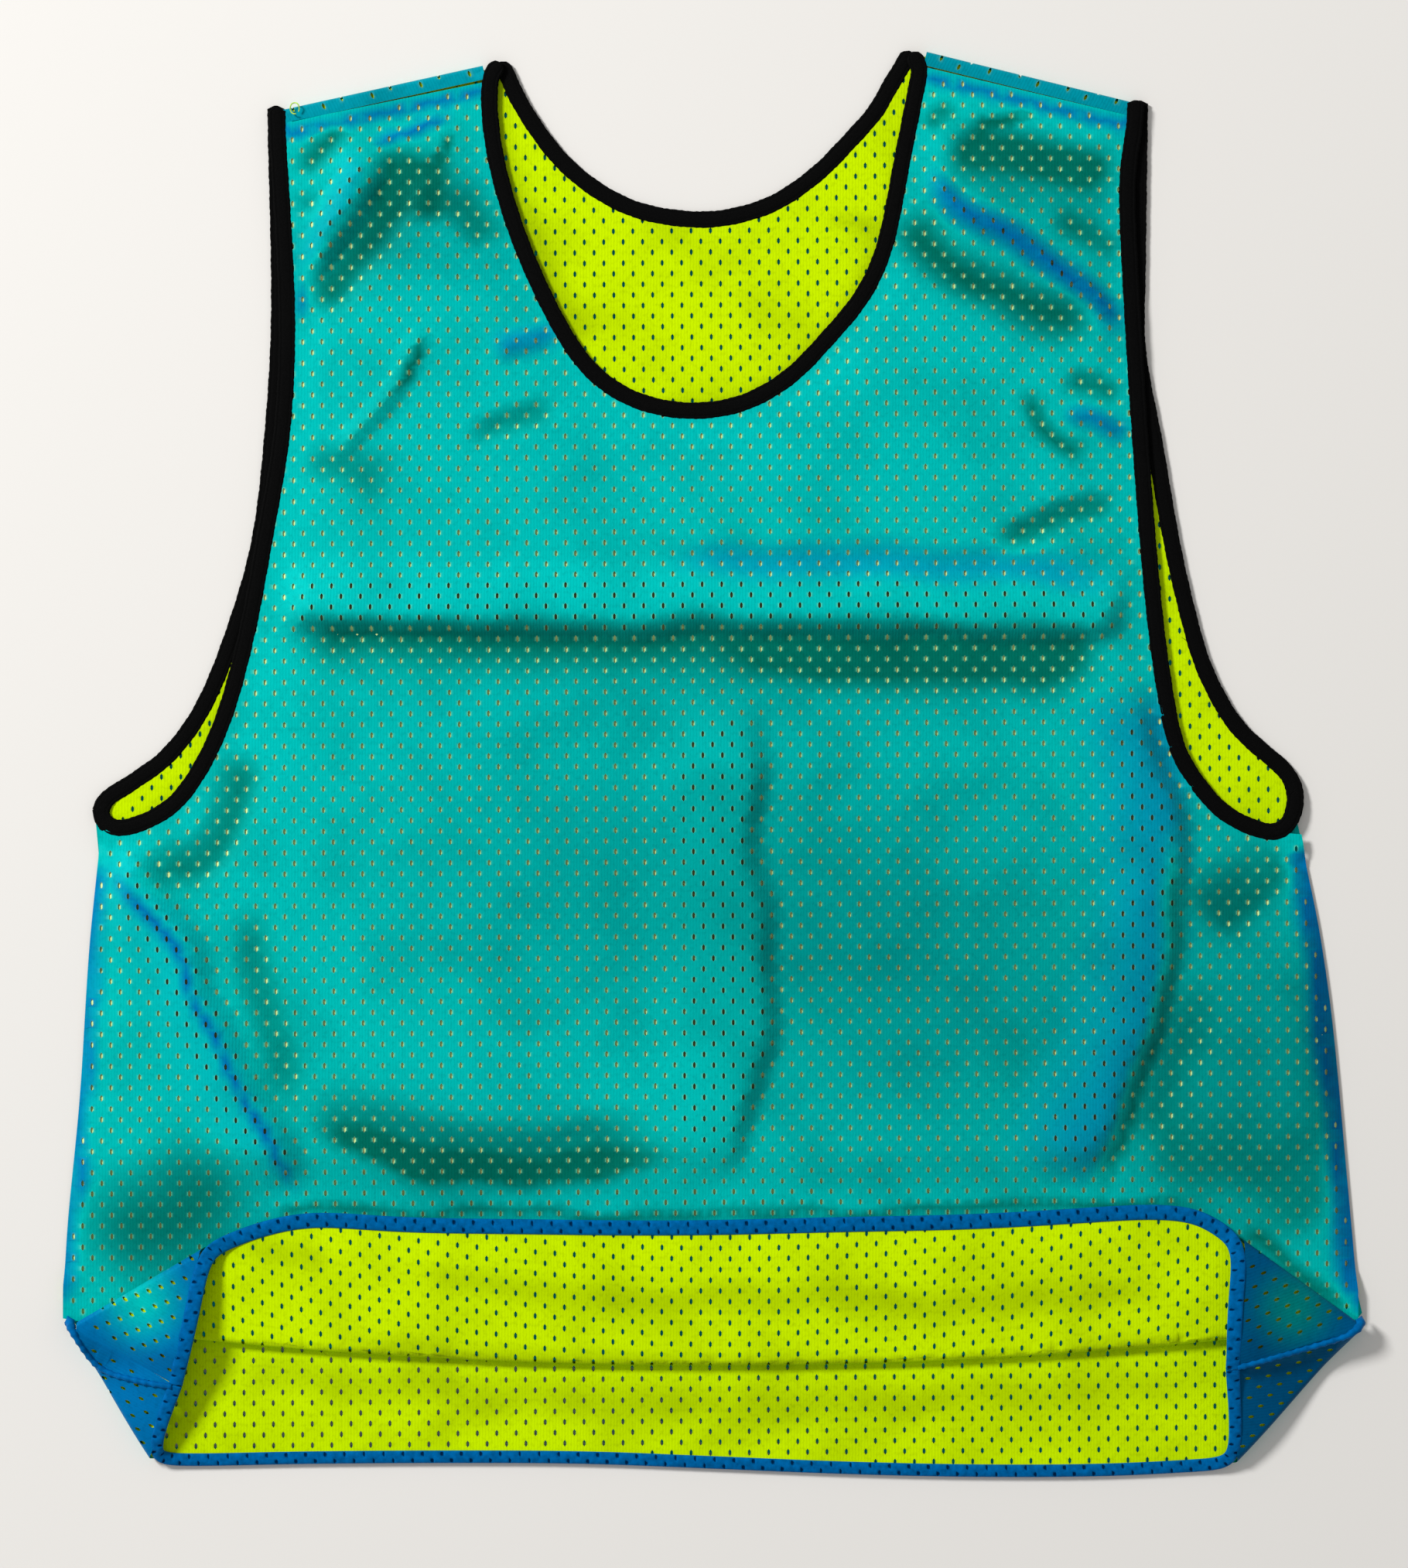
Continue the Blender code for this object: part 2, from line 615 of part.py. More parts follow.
def strand(name, edge, low, finish):
    """A binding: a flat strip with rounded edges, laid along the left of a panel's edge."""
    half = BINDING_WIDTH / 2
    middle = offset(edge, SEAM_GAP + half)
    mesh = bmesh.new()
    rings = []
    for i, point in enumerate(middle):
        along = (middle[min(i + 1, len(middle) - 1)] - middle[max(i - 1, 0)]).normalized()
        across = Vector((-along.y, along.x))
        ring = []
        for side, height in BINDING_SECTION:
            plan = point + across * half * side
            ring.append(mesh.verts.new((plan.x, plan.y, low + BINDING_HEIGHT * height)))
        rings.append(ring)
    for first, second in zip(rings, rings[1:]):
        for i, corner in enumerate(first):
            mesh.faces.new((first[i - 1], corner, second[i], second[i - 1]))
    mesh.faces.new(rings[0])
    mesh.faces.new(rings[-1])
    bmesh.ops.triangulate(mesh, faces=mesh.faces[:])
    bmesh.ops.recalc_face_normals(mesh, faces=mesh.faces[:])
    return finish_piece(name, mesh, finish)


def build_bindings(finish):
    """The bindings of the neck and the armholes, in a back and a front strand each."""
    for side in CORNERS:
        for face, table, low in (("back", ARMHOLE_BACK, BACK_OUTER_Z), ("front", ARMHOLE_FRONT, FRONT_LINING_Z)):
            rise = Vector((0, SHOULDER_SEAM_DROP))
            edge = smooth(table[side])
            edge = [edge[0] + rise] + edge
            edge = reverse(edge) if side == "left" else edge
            strand(f"armhole_binding_{side}_{face}", edge, low, finish)
    for name, table, rises, low in NECK_STRANDS:
        edge = smooth(table)
        edge = [edge[0] + Vector(rises[0])] + edge + [edge[-1] + Vector(rises[1])]
        strand(name, edge, low, finish)


def build():
    """Make every piece of the bib."""
    clear_scene()
    finishes = {
        "teal": material("teal_mesh", (0.0, 0.47, 0.43), 0.55),
        "lime": material("lime_mesh", (0.55, 0.85, 0.01), 0.55),
        "blue": material("hem_roll", (0.0, 0.12, 0.36), 0.5),
    }
    build_fronts(finishes)
    build_backs(finishes)
    build_bindings(material("black_binding", (0.004, 0.004, 0.004), 0.8))


build()
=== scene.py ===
"""The looks of a reversible mesh training bib: cut mesh cloth, creases, hems, bindings and stitches.

Every panel is a flat lattice of holed cells, cut to the outline of its pattern and then folded by the
same rules as the solids. Outlines and heights are in millimetres; the finished meshes are in metres.
"""

import math

import bmesh
import bpy
import numpy as np
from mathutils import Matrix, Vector, geometry, noise


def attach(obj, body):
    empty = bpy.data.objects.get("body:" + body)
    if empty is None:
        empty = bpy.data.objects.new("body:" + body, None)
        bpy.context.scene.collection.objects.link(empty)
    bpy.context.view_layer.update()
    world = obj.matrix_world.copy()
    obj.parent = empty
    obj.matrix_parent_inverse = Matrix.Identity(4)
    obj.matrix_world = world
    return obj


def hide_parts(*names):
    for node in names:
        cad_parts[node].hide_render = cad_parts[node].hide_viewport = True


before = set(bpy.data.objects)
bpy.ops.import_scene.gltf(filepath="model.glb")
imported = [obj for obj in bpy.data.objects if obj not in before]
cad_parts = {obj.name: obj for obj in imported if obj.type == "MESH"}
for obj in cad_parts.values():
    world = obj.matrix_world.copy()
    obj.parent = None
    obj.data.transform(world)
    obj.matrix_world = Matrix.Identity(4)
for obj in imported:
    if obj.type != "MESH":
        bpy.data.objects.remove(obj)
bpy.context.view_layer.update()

MM = 0.001

# Sizes of the cloth and its folds, in millimetres. They are those of the solids.
CLOTH = 1.0
LAYER_GAP = 0.3
SEAM_GAP = 0.35
FOLD_GAP = 0.8
BINDING_WIDTH = 8.3
BINDING_HEIGHT = 2.3
HEM_WIDTH = 7.0
SHOULDER_SEAM_DROP = 7.5
EDGE_STEP = 6.0

# The heights of the four cloth layers, from the table up.
LAYER = CLOTH + LAYER_GAP
BACK_OUTER_Z = 0.0
BACK_LINING_Z = LAYER
FRONT_LINING_Z = 2 * LAYER
FRONT_OUTER_Z = 3 * LAYER
BACK_TOP_Z = BACK_LINING_Z + CLOTH
FRONT_TOP_Z = FRONT_OUTER_Z + CLOTH

# A fold turns a pair of layers about an axis just above them.
FOLD_REACH = BACK_TOP_Z + FOLD_GAP / 2
FOLD_RADIUS = (FOLD_REACH + FOLD_GAP / 2) / 2
FOLD_ARC = math.pi * FOLD_RADIUS
HEM_AXIS_Z = FRONT_LINING_Z + FOLD_REACH
FLAP_TOP_Z = 2 * HEM_AXIS_Z - FRONT_LINING_Z
FRONT_CORNER_AXIS_Z = FLAP_TOP_Z + FOLD_GAP / 2
BACK_CORNER_AXIS_Z = FOLD_REACH
CORNER_RISE = (2 * FRONT_CORNER_AXIS_Z - FLAP_TOP_Z) - (2 * BACK_CORNER_AXIS_Z - BACK_TOP_Z)
FOLD_SHARES = (0.0, 0.2, 0.4, 0.6, 0.8, 1.0)
SEAM_START = 2 * FOLD_REACH
CORNER_START = 5.0
CLIMB_START = 1.5
CORNER_SLOPE_LENGTH = 18.0

# The shoulder edge turns the back panels over to the seam on the front.
SHOULDER_REACH = FRONT_TOP_Z / 2
SHOULDER_RADIUS = SHOULDER_REACH / 2
SHOULDER_ARC = math.pi * SHOULDER_RADIUS

# The hem fold sags between the two side seams.
HEM_FOLD_MIDDLE_Y = -296.0
HEM_FOLD_RISE = 20.0
HALF_WIDTH = 316.0

SIDES = (("left", -1), ("right", 1))

# Named corners of the plan for each side: side seam at the fold (V), end of the fold on the front hem
# (T), side seam at the hem (M) and end of the fold on the back hem (B). Columns: across, along.
CORNERS = {
    "left": {"V": (-315.0, -276.1), "T": (-245.0, -235.0), "M": (-260.0, -304.0), "B": (-273.5, -344.5)},
    "right": {"V": (318.0, -275.7), "T": (255.5, -230.5), "M": (251.5, -296.0), "B": (253.5, -346.5)},
}

# The top edge of each shoulder, from the armhole to the neck. Columns: across, along.
SHOULDERS = {
    "left": ((-207.6, 319.5), (-116.5, 339.6)),
    "right": ((201.9, 323.4), (108.8, 346.3)),
}

# Edges of the panels beside the bindings, and the side seams. Columns: across, along.
ARMHOLE_FRONT = {
    "left": (
        (-208.3, 311.4), (-203.5, 219.0), (-205.8, 161.5), (-214.5, 107.5), (-223.8, 58.5),
        (-236.1, 15.5), (-252.4, -15.5), (-268.7, -30.5), (-298.5, -38.5),
    ),
    "right": (
        (202.3, 315.2), (198.3, 285.0), (199.4, 241.0), (204.7, 153.0), (210.3, 82.5),
        (215.7, 38.5), (222.5, 5.5), (233.5, -14.0), (248.6, -30.0), (266.4, -37.5), (287.5, -40.0),
    ),
}
ARMHOLE_BACK = {
    "left": (
        (-209.2, 313.0), (-207.5, 219.0), (-210.6, 161.5), (-217.5, 105.0), (-231.5, 57.0),
        (-246.7, 21.5), (-264.0, -1.5), (-281.0, -14.5), (-299.0, -33.5),
    ),
    "right": (
        (204.4, 315.5), (203.4, 241.0), (203.4, 201.5), (211.8, 154.5), (220.6, 104.0),
        (229.5, 65.5), (237.0, 42.0), (251.7, 15.5), (271.0, -4.0), (278.5, -16.0), (283.5, -36.0),
    ),
}
SIDE_SEAM = {
    "left": ((-300.5, -46.0), (-305.2, -93.5), (-309.8, -165.5), (-315.5, -225.0), (-317.5, -258.0)),
    "right": ((290.2, -49.5), (297.3, -85.0), (303.6, -130.0), (310.4, -202.5), (315.6, -260.0)),
}
NECK_FRONT = (
    (-114.0, 331.8), (-112.6, 306.8), (-107.3, 280.3), (-96.3, 247.3), (-78.5, 209.8), (-63.3, 188.2),
    (-45.5, 174.9), (-25.8, 168.1), (-4.2, 166.6), (17.8, 171.1), (39.8, 183.6), (59.5, 203.3),
    (77.3, 225.3), (88.3, 249.6), (98.2, 298.1), (106.2, 338.6),
)
NECK_BACK = (
    (-103.8, 330.0), (-91.7, 309.1), (-76.2, 289.4), (-56.5, 273.8), (-34.5, 264.0),
    (-4.2, 260.2), (17.8, 263.6), (35.2, 270.4), (55.3, 284.8), (70.5, 300.4), (83.8, 315.5),
    (93.6, 333.3),
)
# The neck's strands, and the points of their middle lines where they meet over the shoulders.
NECK_STRANDS = (
    ("neck_binding_front", NECK_FRONT, FRONT_LINING_Z),
    ("neck_binding_back", NECK_BACK, BACK_OUTER_Z),
)
NECK_TOPS = {
    "neck_binding_front": (((-103.0, 340.6), (-107.5, 337.0)), ((101.3, 339.0), (97.0, 346.0))),
    "neck_binding_back": (((-104.5, 341.6), (-101.0, 336.5)), ((92.0, 338.5), (97.0, 347.0))),
}

# The finished hem edge where it lies, in stretches between the corners. Columns: across, along.
FLAP_HEM = (
    (-230.4, -228.8), (-217.2, -225.0), (-197.5, -221.3), (-151.2, -223.8), (-85.3, -224.9),
    (-4.2, -225.3), (61.8, -223.8), (127.7, -222.3), (193.7, -218.5), (220.0, -217.6), (242.0, -220.5),
)
BOTTOM_HEM = (
    (-273.5, -344.5), (-195.2, -343.6), (-129.2, -343.2), (-63.3, -343.6), (-4.2, -345.8),
    (61.8, -348.5), (127.7, -350.0), (193.7, -349.6), (253.5, -346.5),
)

# The mesh of the cloth: one hole in every cell of a staggered lattice.
HOLE_PITCH = 9.5
ROW_PITCH = 5.2
HOLE = ((0.0, 1.65), (0.66, 0.7), (0.66, -0.7), (0.0, -1.65), (-0.66, -0.7), (-0.66, 0.7))
HOLE_MARGIN = 2.7
# The lining's holes lie between those of the outer mesh, so that its cloth shows through them.
LINING_SHIFT = (2.4, 2.6)
LINING_RISE = 0.6
LINING_SAG = 0.08
# How far the cloth runs on inside the bindings and the rolled hems.
TUCK = 4.0
# The side seams press the layers together: how flat, how far in from the seam, how long the press takes
# to end above the corner, and how far the linings stay back from the edge.
SEAM_PRESS = 0.72
SEAM_PRESS_REACH = 7.0
SEAM_PRESS_END = 14.0
SEAM_LINING_INSET = 1.6

# Creases of the front. Columns: height, width left of its line, width right of it, taper at its ends,
# tint, and then points across and along. Left and right are as seen when going along the line. Tint 1
# is a bluer, darker colour of cloth that stands off its lining, partly painted shade, and -1 the dark
# green of painted shade in a hollow.
CREASES = (
    # Chest: the crest, the blue hollow above it and the green painted shade below it.
    (6.5, 30.0, 15.0, 14.0, 0.0, ((-212.0, 74.0), (-140.0, 72.0), (-60.0, 71.0), (40.0, 73.0), (205.0, 68.0))),
    (-1.5, 12.0, 10.0, 40.0, 0.5, ((-30.0, 96.0), (60.0, 98.0), (130.0, 94.0), (206.0, 90.0))),
    (-2.5, 12.0, 22.0, 26.0, -0.95, ((-206.0, 60.0), (-90.0, 58.0), (60.0, 58.0), (202.0, 54.0))),
    (-2.0, 14.0, 16.0, 40.0, -0.6, ((0.0, 50.0), (110.0, 42.0), (196.0, 44.0))),
    # The long creases down the middle and down both sides.
    (6.5, 14.0, 55.0, 50.0, 0.0, ((17.0, 40.0), (16.0, -50.0), (21.0, -107.0), (13.0, -165.0), (-6.0, -214.0))),
    (5.5, 13.0, 34.0, 20.0, 0.15, ((-291.0, -38.0), (-257.0, -99.0), (-230.0, -157.0), (-200.0, -214.0))),
    (6.0, 14.0, 40.0, 30.0, 0.6, ((214.0, 46.0), (222.0, -34.0), (219.0, -88.0), (204.0, -142.0), (172.0, -214.0))),
    (-2.5, 12.0, 14.0, 30.0, -0.6, ((-222.0, -66.0), (-218.0, -105.0), (-208.0, -150.0), (-196.0, -176.0))),
    (-2.0, 18.0, 16.0, 40.0, -0.5, ((240.0, -100.0), (228.0, -150.0), (206.0, -206.0))),
    (0.0, 2.8, 3.8, 30.0, 0.9, ((-296.0, -48.0), (-262.0, -96.0), (-231.0, -157.0), (-200.0, -216.0))),
    # Folds at both armpits.
    (-3.0, 12.0, 24.0, 14.0, -0.7, ((286.0, -42.0), (264.0, -64.0), (241.0, -86.0))),
    (-3.0, 16.0, 14.0, 18.0, -0.8, ((-280.0, -44.0), (-256.0, -54.0), (-236.0, -30.0), (-230.0, 8.0))),
    # The crescent above the flap.
    (-4.5, 24.0, 14.0, 45.0, -0.8, ((-202.0, -160.0), (-157.0, -190.0), (-119.0, -198.0), (-76.0, -198.0), (-18.0, -184.0))),
    (0.0, 12.0, 6.0, 30.0, -0.7, ((-200.0, -174.0), (-157.0, -195.0), (-111.0, -203.0), (-57.0, -202.0), (-8.0, -188.0))),
    # Left shoulder, from the seam down.
    (0.0, 26.0, 24.0, 18.0, -0.5, ((-152.0, 310.0), (-148.0, 285.0), (-154.0, 258.0))),
    (-2.5, 8.0, 8.0, 12.0, -0.9, ((-179.0, 313.0), (-192.0, 298.0), (-203.0, 285.0))),
    (-1.5, 8.0, 8.0, 10.0, -0.5, ((-190.0, 280.0), (-203.0, 268.0))),
    (4.2, 15.0, 14.0, 18.0, 0.3, ((-168.0, 300.0), (-177.0, 274.0), (-187.0, 254.0), (-204.0, 232.0))),
    (-4.0, 17.0, 14.0, 16.0, -1.0, ((-146.0, 303.0), (-152.0, 284.0), (-161.0, 266.0), (-171.0, 252.0), (-200.0, 220.0))),
    (-2.0, 11.0, 10.0, 14.0, -0.7, ((-138.0, 300.0), (-134.0, 280.0), (-140.0, 256.0))),
    (-3.0, 12.0, 12.0, 16.0, -0.8, ((-130.0, 282.0), (-115.0, 265.0), (-102.0, 246.0))),
    (0.8, 4.0, 4.0, 8.0, 1.0, ((-168.0, 299.0), (-148.0, 308.0), (-128.0, 317.0))),
    (-0.8, 3.2, 3.2, 8.0, -1.0, ((-127.0, 309.0), (-134.0, 293.0), (-137.0, 273.0))),
    (0.0, 5.0, 5.0, 10.0, 0.7, ((-201.0, 240.0), (-201.0, 212.0))),
    (2.2, 7.0, 6.0, 16.0, -0.4, ((-139.0, 212.0), (-152.0, 194.0), (-166.0, 170.0), (-182.0, 146.0))),
    (0.0, 2.4, 2.4, 12.0, -1.0, ((-139.0, 208.0), (-150.0, 192.0), (-158.0, 178.0))),
    (-2.0, 14.0, 12.0, 18.0, -0.6, ((-202.0, 150.0), (-178.0, 142.0), (-152.0, 128.0))),
    (2.0, 8.0, 8.0, 12.0, 0.7, ((-112.0, 200.0), (-92.0, 205.0), (-70.0, 208.0))),
    (-2.2, 9.0, 9.0, 14.0, -0.6, ((-122.0, 157.0), (-98.0, 164.0), (-74.0, 174.0))),
    # Right shoulder, from the seam down.
    (0.0, 16.0, 24.0, 18.0, -0.55, ((108.0, 300.0), (150.0, 290.0), (200.0, 278.0))),
    (-3.0, 14.0, 14.0, 16.0, -0.95, ((112.0, 299.0), (148.0, 298.0), (175.0, 290.0), (201.0, 288.0))),
    (-1.5, 8.0, 9.0, 10.0, -0.7, ((166.0, 267.0), (185.0, 258.0), (200.0, 252.0))),
    (-1.2, 6.0, 6.0, 8.0, -0.8, ((103.0, 304.0), (110.0, 313.0), (119.0, 321.0))),
    (-0.8, 3.6, 3.6, 8.0, -1.0, ((122.0, 309.0), (140.0, 313.0), (158.0, 319.0))),
    (3.5, 9.0, 8.0, 20.0, 1.0, ((104.0, 292.0), (118.0, 271.0), (144.0, 259.0), (171.0, 238.0), (201.0, 205.0))),
    (-4.0, 13.0, 15.0, 18.0, -1.0, ((93.0, 274.0), (112.0, 246.0), (142.0, 229.0), (186.0, 206.0))),
    (-2.5, 7.0, 8.0, 10.0, -0.85, ((170.0, 189.0), (184.0, 185.0), (201.0, 176.0))),
    (1.6, 6.0, 6.0, 10.0, 0.8, ((172.0, 174.0), (186.0, 167.0), (203.0, 154.0))),
    (-1.0, 8.0, 8.0, 10.0, -0.9, ((156.0, 184.0), (160.0, 167.0), (170.0, 156.0), (184.0, 149.0))),
    (-3.0, 10.0, 10.0, 16.0, -0.85, ((138.0, 105.0), (166.0, 116.0), (203.0, 126.0))),
    # Painted blue shade along the side seams and painted green shade beside the flap, with no height.
    (0.0, 9.0, 9.0, 5.0, 1.2, ((285.0, -42.0), (297.0, -100.0), (304.0, -165.0), (310.0, -222.0), (315.0, -272.0))),
    # Painted shadow lines: beside the right long crease, along the right corner's fold and above the flap's hem.
    (0.0, 5.0, 8.0, 40.0, -0.9, ((223.0, -26.0), (226.0, -80.0), (222.0, -110.0), (206.0, -168.0), (184.0, -220.0))),
    (0.0, 6.0, 6.0, 10.0, -0.8, ((256.0, -230.0), (288.0, -252.0), (318.0, -273.0))),
    (0.0, 3.6, 3.6, 20.0, -0.8, ((-222.0, -222.0), (-197.0, -218.0), (-100.0, -222.0), (60.0, -221.0), (193.0, -215.5), (240.0, -217.0))),
    (0.0, 7.0, 7.0, 12.0, 0.9, ((-300.0, -46.0), (-305.0, -110.0), (-310.0, -180.0), (-315.0, -225.0), (-317.0, -268.0))),
    (0.0, 34.0, 30.0, 40.0, -0.8, ((-308.0, -256.0), (-285.0, -234.0), (-258.0, -224.0), (-238.0, -180.0))),
    (0.0, 30.0, 30.0, 20.0, -0.6, ((296.0, -236.0), (262.0, -196.0), (210.0, -200.0))),
)
CROWN = 2.5
CROWN_REACH = 45.0
CREASE_FADE = 14.0
FLAP_FADE = 26.0
CREASE_GAIN = 1.15
TINT_SPREAD = 1.3
# How far, and over what length, the lines of the creases wander.
WANDER = 5.0
WANDER_LENGTH = 34.0
CREASE_END_Y = -214.0
# Soft patches of painted shade on the front. Columns: across, along, reach across, reach along, darkness.
SHADES = (
    (-30.0, -60.0, 190.0, 120.0, 0.42), (120.0, -110.0, 170.0, 160.0, 0.5), (262.0, -150.0, 75.0, 130.0, 0.55),
    (-120.0, -200.0, 110.0, 60.0, 0.35), (-260.0, -225.0, 70.0, 50.0, 0.4), (40.0, 30.0, 220.0, 34.0, 0.25),
    (-150.0, 262.0, 70.0, 50.0, 0.3), (150.0, 250.0, 80.0, 60.0, 0.3), (248.0, -62.0, 46.0, 44.0, 0.35), (300.0, -160.0, 30.0, 120.0, 0.45),
)
WAVE_HEIGHT = 1.2
WAVE_LENGTH = 55.0
# The painted blue shadow band below the shoulder seams: half its width, and how blue it is.
SEAM_BAND = 5.5
SEAM_TINT = 0.9
# How blue the back's strips over the shoulders are painted, and how dark their painted shade is.
SHOULDER_TINT = 0.45
SHOULDER_SHADE = 0.25

# Streaks of shade on the lime lining where it shows. Columns: half width, taper at the ends, darkness,
# and then points across and along.
NECK_STREAKS = (
    (15.0, 10.0, 0.42, ((-108.0, 345.0), (-103.0, 300.0), (-93.0, 262.0), (-72.0, 222.0), (-60.0, 200.0))),
    (9.0, 12.0, 0.25, ((-30.0, 172.0), (10.0, 172.0), (60.0, 215.0), (84.0, 262.0))),
    (7.0, 12.0, 0.3, ((56.0, 266.0), (72.0, 262.0), (88.0, 258.0))),
)
BOTTOM_STREAKS = (
    (15.0, 20.0, 0.25, ((-240.0, -300.0), (-100.0, -309.0), (20.0, -314.0), (240.0, -306.0))),
    (12.0, 20.0, 0.22, ((-150.0, -340.0), (-120.0, -322.0), (-90.0, -312.0))),
    (14.0, 24.0, 0.22, ((-20.0, -345.0), (10.0, -328.0), (60.0, -316.0))),
)
FLAP_STREAKS = (
    (12.0, 30.0, 0.28, ((-150.0, -250.0), (-60.0, -262.0), (40.0, -262.0), (120.0, -266.0), (230.0, -258.0))),
    (10.0, 30.0, 0.32, ((-190.0, -284.0), (-60.0, -294.0), (60.0, -297.0), (180.0, -292.0), (246.0, -280.0))),
    (11.0, 14.0, 0.25, ((-232.0, -238.0), (-205.0, -240.0), (-180.0, -246.0))),
)

# How far each folded corner's hem stands up, and how far from the hem the rise begins.
CORNER_LIFTS = {"left": 9.0, "right": 8.0}
CORNER_LIFT_REACH = 46.0
# The side seam on each folded corner, from the fold to the hem. Columns: across, along.
CORNER_SEAMS = {
    "left": ((-315.2, -271.5), (-311.4, -278.5), (-305.8, -288.6), (-299.0, -297.0), (-281.0, -302.0), (-263.0, -304.5)),
    "right": ((317.0, -271.5), (313.5, -278.0), (296.0, -284.5), (275.0, -290.0), (255.0, -295.0)),
}
SEAM_RIDGE = 1.3
SEAM_RIDGE_WIDTH = 5.0
# Soft patches of teal on the blue corners. Columns: across, along, radius.
CORNER_PATCHES = ((-278.0, -263.0, 30.0), (283.0, -266.0, 28.0))
# How much painted shade darkens each folded corner; the right one faces away from the light.
CORNER_SHADES = {"left": 0.12, "right": 0.75}
# Where no edge of the linings may show: round the corners at the side folds and the armpits.
BARE = ((-316.0, -277.0, 9.0), (318.0, -277.0, 9.0), (316.5, -266.5, 4.0), (-277.0, -344.0, 3.0), (-300.0, -36.0, 6.5), (288.0, -36.5, 7.0))

# The binding's middle line round each armpit, from where the strand leaves the panel's edge to the tip.
PITS = {
    ("left", "back"): ((-287.5, -13.0), (-294.5, -17.0), (-298.6, -21.5), (-299.4, -26.0)),
    ("left", "front"): ((-280.5, -31.0), (-290.5, -33.2), (-296.8, -31.0), (-299.4, -26.0), (-299.2, -22.5)),
    ("right", "back"): ((279.6, -4.5), (284.3, -12.0), (285.2, -20.0)),
    ("right", "front"): ((266.0, -33.4), (275.0, -35.0), (281.8, -30.5), (285.2, -20.0), (284.9, -15.0)),
}
PIT_CLEARANCE = 6.0
PIT_HEIGHT = 1.3
PIT_RAMP = 16.0
TAPE_STEP = 1.5

# The hem's roll, as swept, and the pitch of its rings.
HEM_ROLL_WIDTHS = {"front": 7.4, "back": 6.2}
HEM_ROLL_HEIGHT = 2.7
HEM_ROLL_RISE = 0.6
HEM_LEG_INSETS = {"front": 0.4, "back": 2.2}
# Where the rolls of the front and the back meet at the side seams, both take this inset and width.
HEM_MEET_INSET = 1.3
HEM_MEET_WIDTH = 6.8
HEM_MEET_REACH = 22.0
HEM_ROUNDING = 260
HEM_INSET = 2.6
HEM_STEP = 0.8
HEM_POINTS = 24
THREAD_PLACE = (-204.0, 318.5, 6.4)
THREAD_REACH = (2.2, 2.8)
THREAD_START = -0.6
THREAD_END = 5.0
THREAD_STEPS = 24
THREAD_RADIUS = 0.3
FLAP_WAVE = 1.8
FLAP_WAVE_MARGIN = 18.0
CORD_RADIUS = 1.4
CORD_SWELL = 1.3
CORD_SWELL_LENGTH = 20.0
CORD_TIP_LENGTH = 7.0
CORD_POINTS = 10
CORD_BUMP = 0.3
CORD_PITCH = 4.5
MERGE = 0.25

# The camera looks straight down: its height, and the size and middle of its frame at the floor.
SENSOR = 36.0
CAMERA_HEIGHT = 2.0
FRAME_LENGTH = 0.768
FRAME_CENTRE = (-0.0042, -0.0114)


def smoothstep(share):
    """A soft step from 0 to 1, for one number or an array."""
    share = np.clip(share, 0.0, 1.0)
    return share * share * (3 - 2 * share)


def smooth(points, step=EDGE_STEP):
    """Points about one step apart on a smooth curve through the given points."""
    knots = [Vector(p) for p in points]
    curve = [knots[0]]
    for i in range(len(knots) - 1):
        start, end = knots[i], knots[i + 1]
        before = knots[max(i - 1, 0)]
        after = knots[min(i + 2, len(knots) - 1)]
        reach = (end - start).length / 3
        leaving = start + (end - before).normalized() * reach
        arriving = end - (after - start).normalized() * reach
        count = max(2, round((end - start).length / step) + 1)
        curve += geometry.interpolate_bezier(start, leaving, arriving, end, count)[1:]
    return [Vector((p.x, p.y)) for p in curve]


def offset(curve, distance):
    """The curve moved to its own left."""
    moved = []
    for i, point in enumerate(curve):
        along = (curve[min(i + 1, len(curve) - 1)] - curve[max(i - 1, 0)]).normalized()
        moved.append(point + Vector((-along.y, along.x)) * distance)
    return moved


def reverse(curve):
    """The curve run the other way."""
    return curve[::-1]


def hem_fold_y(x):
    """How far along the garment the hem fold lies."""
    return HEM_FOLD_MIDDLE_Y + HEM_FOLD_RISE * (x / HALF_WIDTH) ** 2


def hem_axis_y(x):
    """The hem fold's axis, whose roll reaches down to the fold line."""
    return hem_fold_y(x) + FOLD_REACH


def line_frame(start, end, inside):
    """A fold line's start, its direction, and its normal away from a point inside."""
    start, end, inside = Vector(start), Vector(end), Vector(inside)
    along = (end - start).normalized()
    away = Vector((along.y, -along.x))
    if away.dot(inside - start) > 0:
        away = -away
    return start, along, away


FLAP_MIDDLE = (0.0, -260.0)
FRONT_FOLDS = {side: line_frame(c["V"], c["T"], FLAP_MIDDLE) for side, c in CORNERS.items()}
BACK_FOLDS = {side: line_frame(c["V"], c["B"], FLAP_MIDDLE) for side, c in CORNERS.items()}
SHOULDER_FOLDS = {side: line_frame(*ends, FLAP_MIDDLE) for side, ends in SHOULDERS.items()}


def turn(distance, height, axis_z, radius, arc):
    """Roll points over an axis: how far past it they then lie, and their heights."""
    arm = axis_z - height
    angle = np.clip(distance, 0.0, arc) / radius
    turned = np.where(distance <= 0, distance, np.where(distance >= arc, arc - distance, arm * np.sin(angle)))
    risen = np.where(distance <= 0, height, np.where(distance >= arc, axis_z + arm, axis_z - arm * np.cos(angle)))
    return turned, risen


def turn_over_line(points, line, axis_z, reach, radius, arc):
    """Fold an array of points over a straight line of the plan."""
    start, _, away = line
    distance = (points[:, 0] - start.x) * away.x + (points[:, 1] - start.y) * away.y + reach
    turned, height = turn(distance, points[:, 2], axis_z, radius, arc)
    moved = points.copy()
    moved[:, 0] += away.x * (turned - distance)
    moved[:, 1] += away.y * (turned - distance)
    moved[:, 2] = height
    return moved


